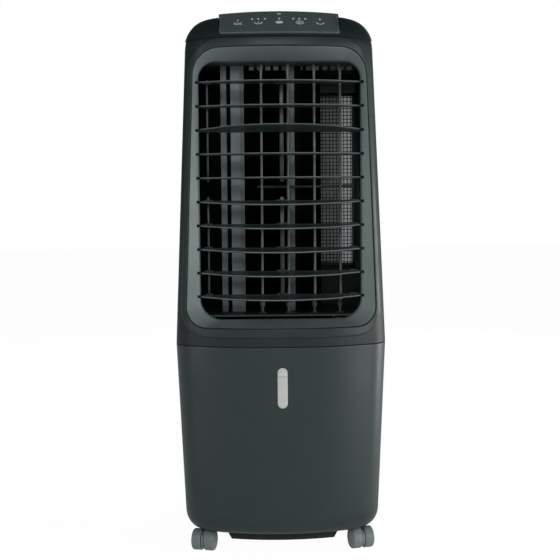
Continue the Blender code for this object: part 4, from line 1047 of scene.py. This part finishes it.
# Each entry: look and the width of its bevel.
KEPT = {
    "vane_link_bar": ("louver_black", 0.0004), "duct_floor": ("duct_shadow", 0.0004),
    "duct_baffle": ("inner_black", 0.0004), "duct_ceiling": ("duct_grey", 0.0004),
    "rear_grille": ("rear_charcoal", 0.0007),
    "tank_latch": ("rear_charcoal", 0.0007), "water_distributor": ("duct_grey", 0.0005),
    "base_pan": ("base_black", 0.0008), "cord_gland": ("base_black", 0.0007),
    "water_pump": ("base_black", 0.0010), "level_float": ("float_white", 0.0006),
    "water_tank": ("tank_grey", 0.0008),
    "blower_motor": ("motor_steel", 0.0008), "blower_top_bearing": ("motor_steel", 0.0005),
    "swing_motor": ("motor_steel", 0.0006), "control_board": ("board_green", 0.0002),
    "pump_hose": ("hose_clear", 0.0),
}


def kept_nodes():
    for name, (look, width) in KEPT.items():
        node = NODES[name]
        node.data.materials.clear()
        node.data.materials.append(LOOKS[look])
        node.modifiers.new("weld", "WELD").merge_threshold = WELD_DISTANCE
        if width:
            bevel(node, width)
        else:
            smooth = node.modifiers.new("smooth", "SUBSURF")
            smooth.levels = smooth.render_levels = 2


# ---- stage ----
FLOOR_HALF, FLOOR_COLOUR, FLOOR_GLOW = 12, (0.86, 0.86, 0.86), 1.05
SEEN_SHARE, MIRRORED_SHARE = 0.93, 0.30
ROOM_COLOUR, ROOM_STRENGTH = (0.93, 1.0, 0.99, 1), 0.08
# Each light: name, place, target, size and watts.
LIGHTS = (
    ("key_right", (2.3, -1.5, 0.5), (0, 0, 0.45), (0.9, 1.4), 24),
    ("key_left", (-2.3, -1.6, 0.7), (0, 0, 0.45), (0.9, 1.4), 8.5),
    ("fill_front", (-0.1, -2.6, 1.3), (0, 0, 0.35), (1.6, 0.8), 16),
    ("rim_right", (2.1, 0.45, 0.25), (0.1, 0, 0.2), (0.7, 0.8), 19.0),
    ("rim_left", (-1.6, 0.1, 0.6), (-0.1, 0, 0.5), (0.3, 1.2), 0.1),
    ("back_soft", (0.5, 2.8, 1.2), (0, 0, 0.4), (1.6, 1.0), 14),
)


def two_way(tree, output, first_kind, second_kind):
    """Empties the tree and mixes two shaders into its output: light path, mixer and the two shaders."""
    nodes, links = tree.nodes, tree.links
    nodes.clear()
    kinds = output, "MixShader", first_kind, second_kind, "LightPath"
    out, blend, first, second, path = [nodes.new(f"ShaderNode{kind}") for kind in kinds]
    links.new(first.outputs[0], blend.inputs[1])
    links.new(second.outputs[0], blend.inputs[2])
    links.new(blend.outputs[0], out.inputs["Surface"])
    return path, blend, first, second


def floor_look():
    """White floor: it glows where it's seen, less so in reflections, and is matte for all other light."""
    made = bpy.data.materials.new("stage")
    made.use_nodes = True
    tree = made.node_tree
    path, blend, matte, glow = two_way(tree, "OutputMaterial", "BsdfDiffuse", "Emission")
    matte.inputs["Color"].default_value = (*FLOOR_COLOUR, 1)
    glow.inputs["Strength"].default_value = FLOOR_GLOW
    seen, mirrored_share = tree.nodes.new("ShaderNodeMath"), tree.nodes.new("ShaderNodeMath")
    for node, value in ((seen, SEEN_SHARE), (mirrored_share, MIRRORED_SHARE)):
        node.operation = "MULTIPLY_ADD"
        node.inputs[1].default_value = value
    seen.inputs[2].default_value = 0.0
    tree.links.new(path.outputs["Is Camera Ray"], seen.inputs[0])
    tree.links.new(path.outputs["Is Glossy Ray"], mirrored_share.inputs[0])
    tree.links.new(seen.outputs[0], mirrored_share.inputs[2])
    tree.links.new(mirrored_share.outputs[0], blend.inputs["Fac"])
    return made


def aimed(name, data, place, heading):
    obj = loose(name, data)
    obj.location = place
    obj.rotation_mode = "QUATERNION"
    obj.rotation_quaternion = heading.to_track_quat("-Z", "Y")
    return obj


def area(name, place, target, size, power):
    light = bpy.data.lights.new(name, "AREA")
    light.shape, light.size, light.size_y = "RECTANGLE", *size
    light.energy = power
    aimed(name, light, place, Vector(target) - Vector(place))


def stage():
    bm = bmesh.new()
    bmesh.ops.create_grid(bm, x_segments=1, y_segments=1, size=FLOOR_HALF)
    floor = loose("floor", to_mesh("floor", bm))
    floor.data.materials.append(floor_look())

    world = bpy.data.worlds.new("studio")
    SCENE.world = world
    world.use_nodes = True
    path, blend, room, white = two_way(world.node_tree, "OutputWorld", "Background", "Background")
    room.inputs["Color"].default_value = ROOM_COLOUR
    room.inputs["Strength"].default_value = ROOM_STRENGTH
    white.inputs["Color"].default_value = (1, 1, 1, 1)
    white.inputs["Strength"].default_value = 1.0
    world.node_tree.links.new(path.outputs["Is Camera Ray"], blend.inputs["Fac"])

    for light in LIGHTS:
        area(*light)
    SCENE.view_settings.view_transform = "Standard"


CAMERA_PLACE = (-0.0468, -1.8784, 0.5386)
CAMERA_YAW, CAMERA_PITCH, CAMERA_ROLL = radians(1.462), radians(3.813), radians(-0.452)


def camera():
    data = bpy.data.cameras.new("camera")
    data.sensor_width, data.lens = 36.0, 75.1
    data.clip_start, data.clip_end = 0.05, 60
    heading = Vector((sin(CAMERA_YAW), cos(CAMERA_YAW), -tan(CAMERA_PITCH)))
    obj = aimed("camera", data, CAMERA_PLACE, heading)
    obj.rotation_quaternion = obj.rotation_quaternion @ Matrix.Rotation(CAMERA_ROLL, 3, "Z").to_quaternion()
    SCENE.camera = obj


casing()
cover()
surround()
funnel()
louvers()
link_rods()
vanes()
scroll()
blower()
ceiling_ribs()
pad_lattice()
window()
control_plate()
icons()
panel_rim()
panel_led()
for caster_place in ("front_left", "front_right", "rear_left", "rear_right"):
    caster(caster_place)
kept_nodes()
stage()
camera()
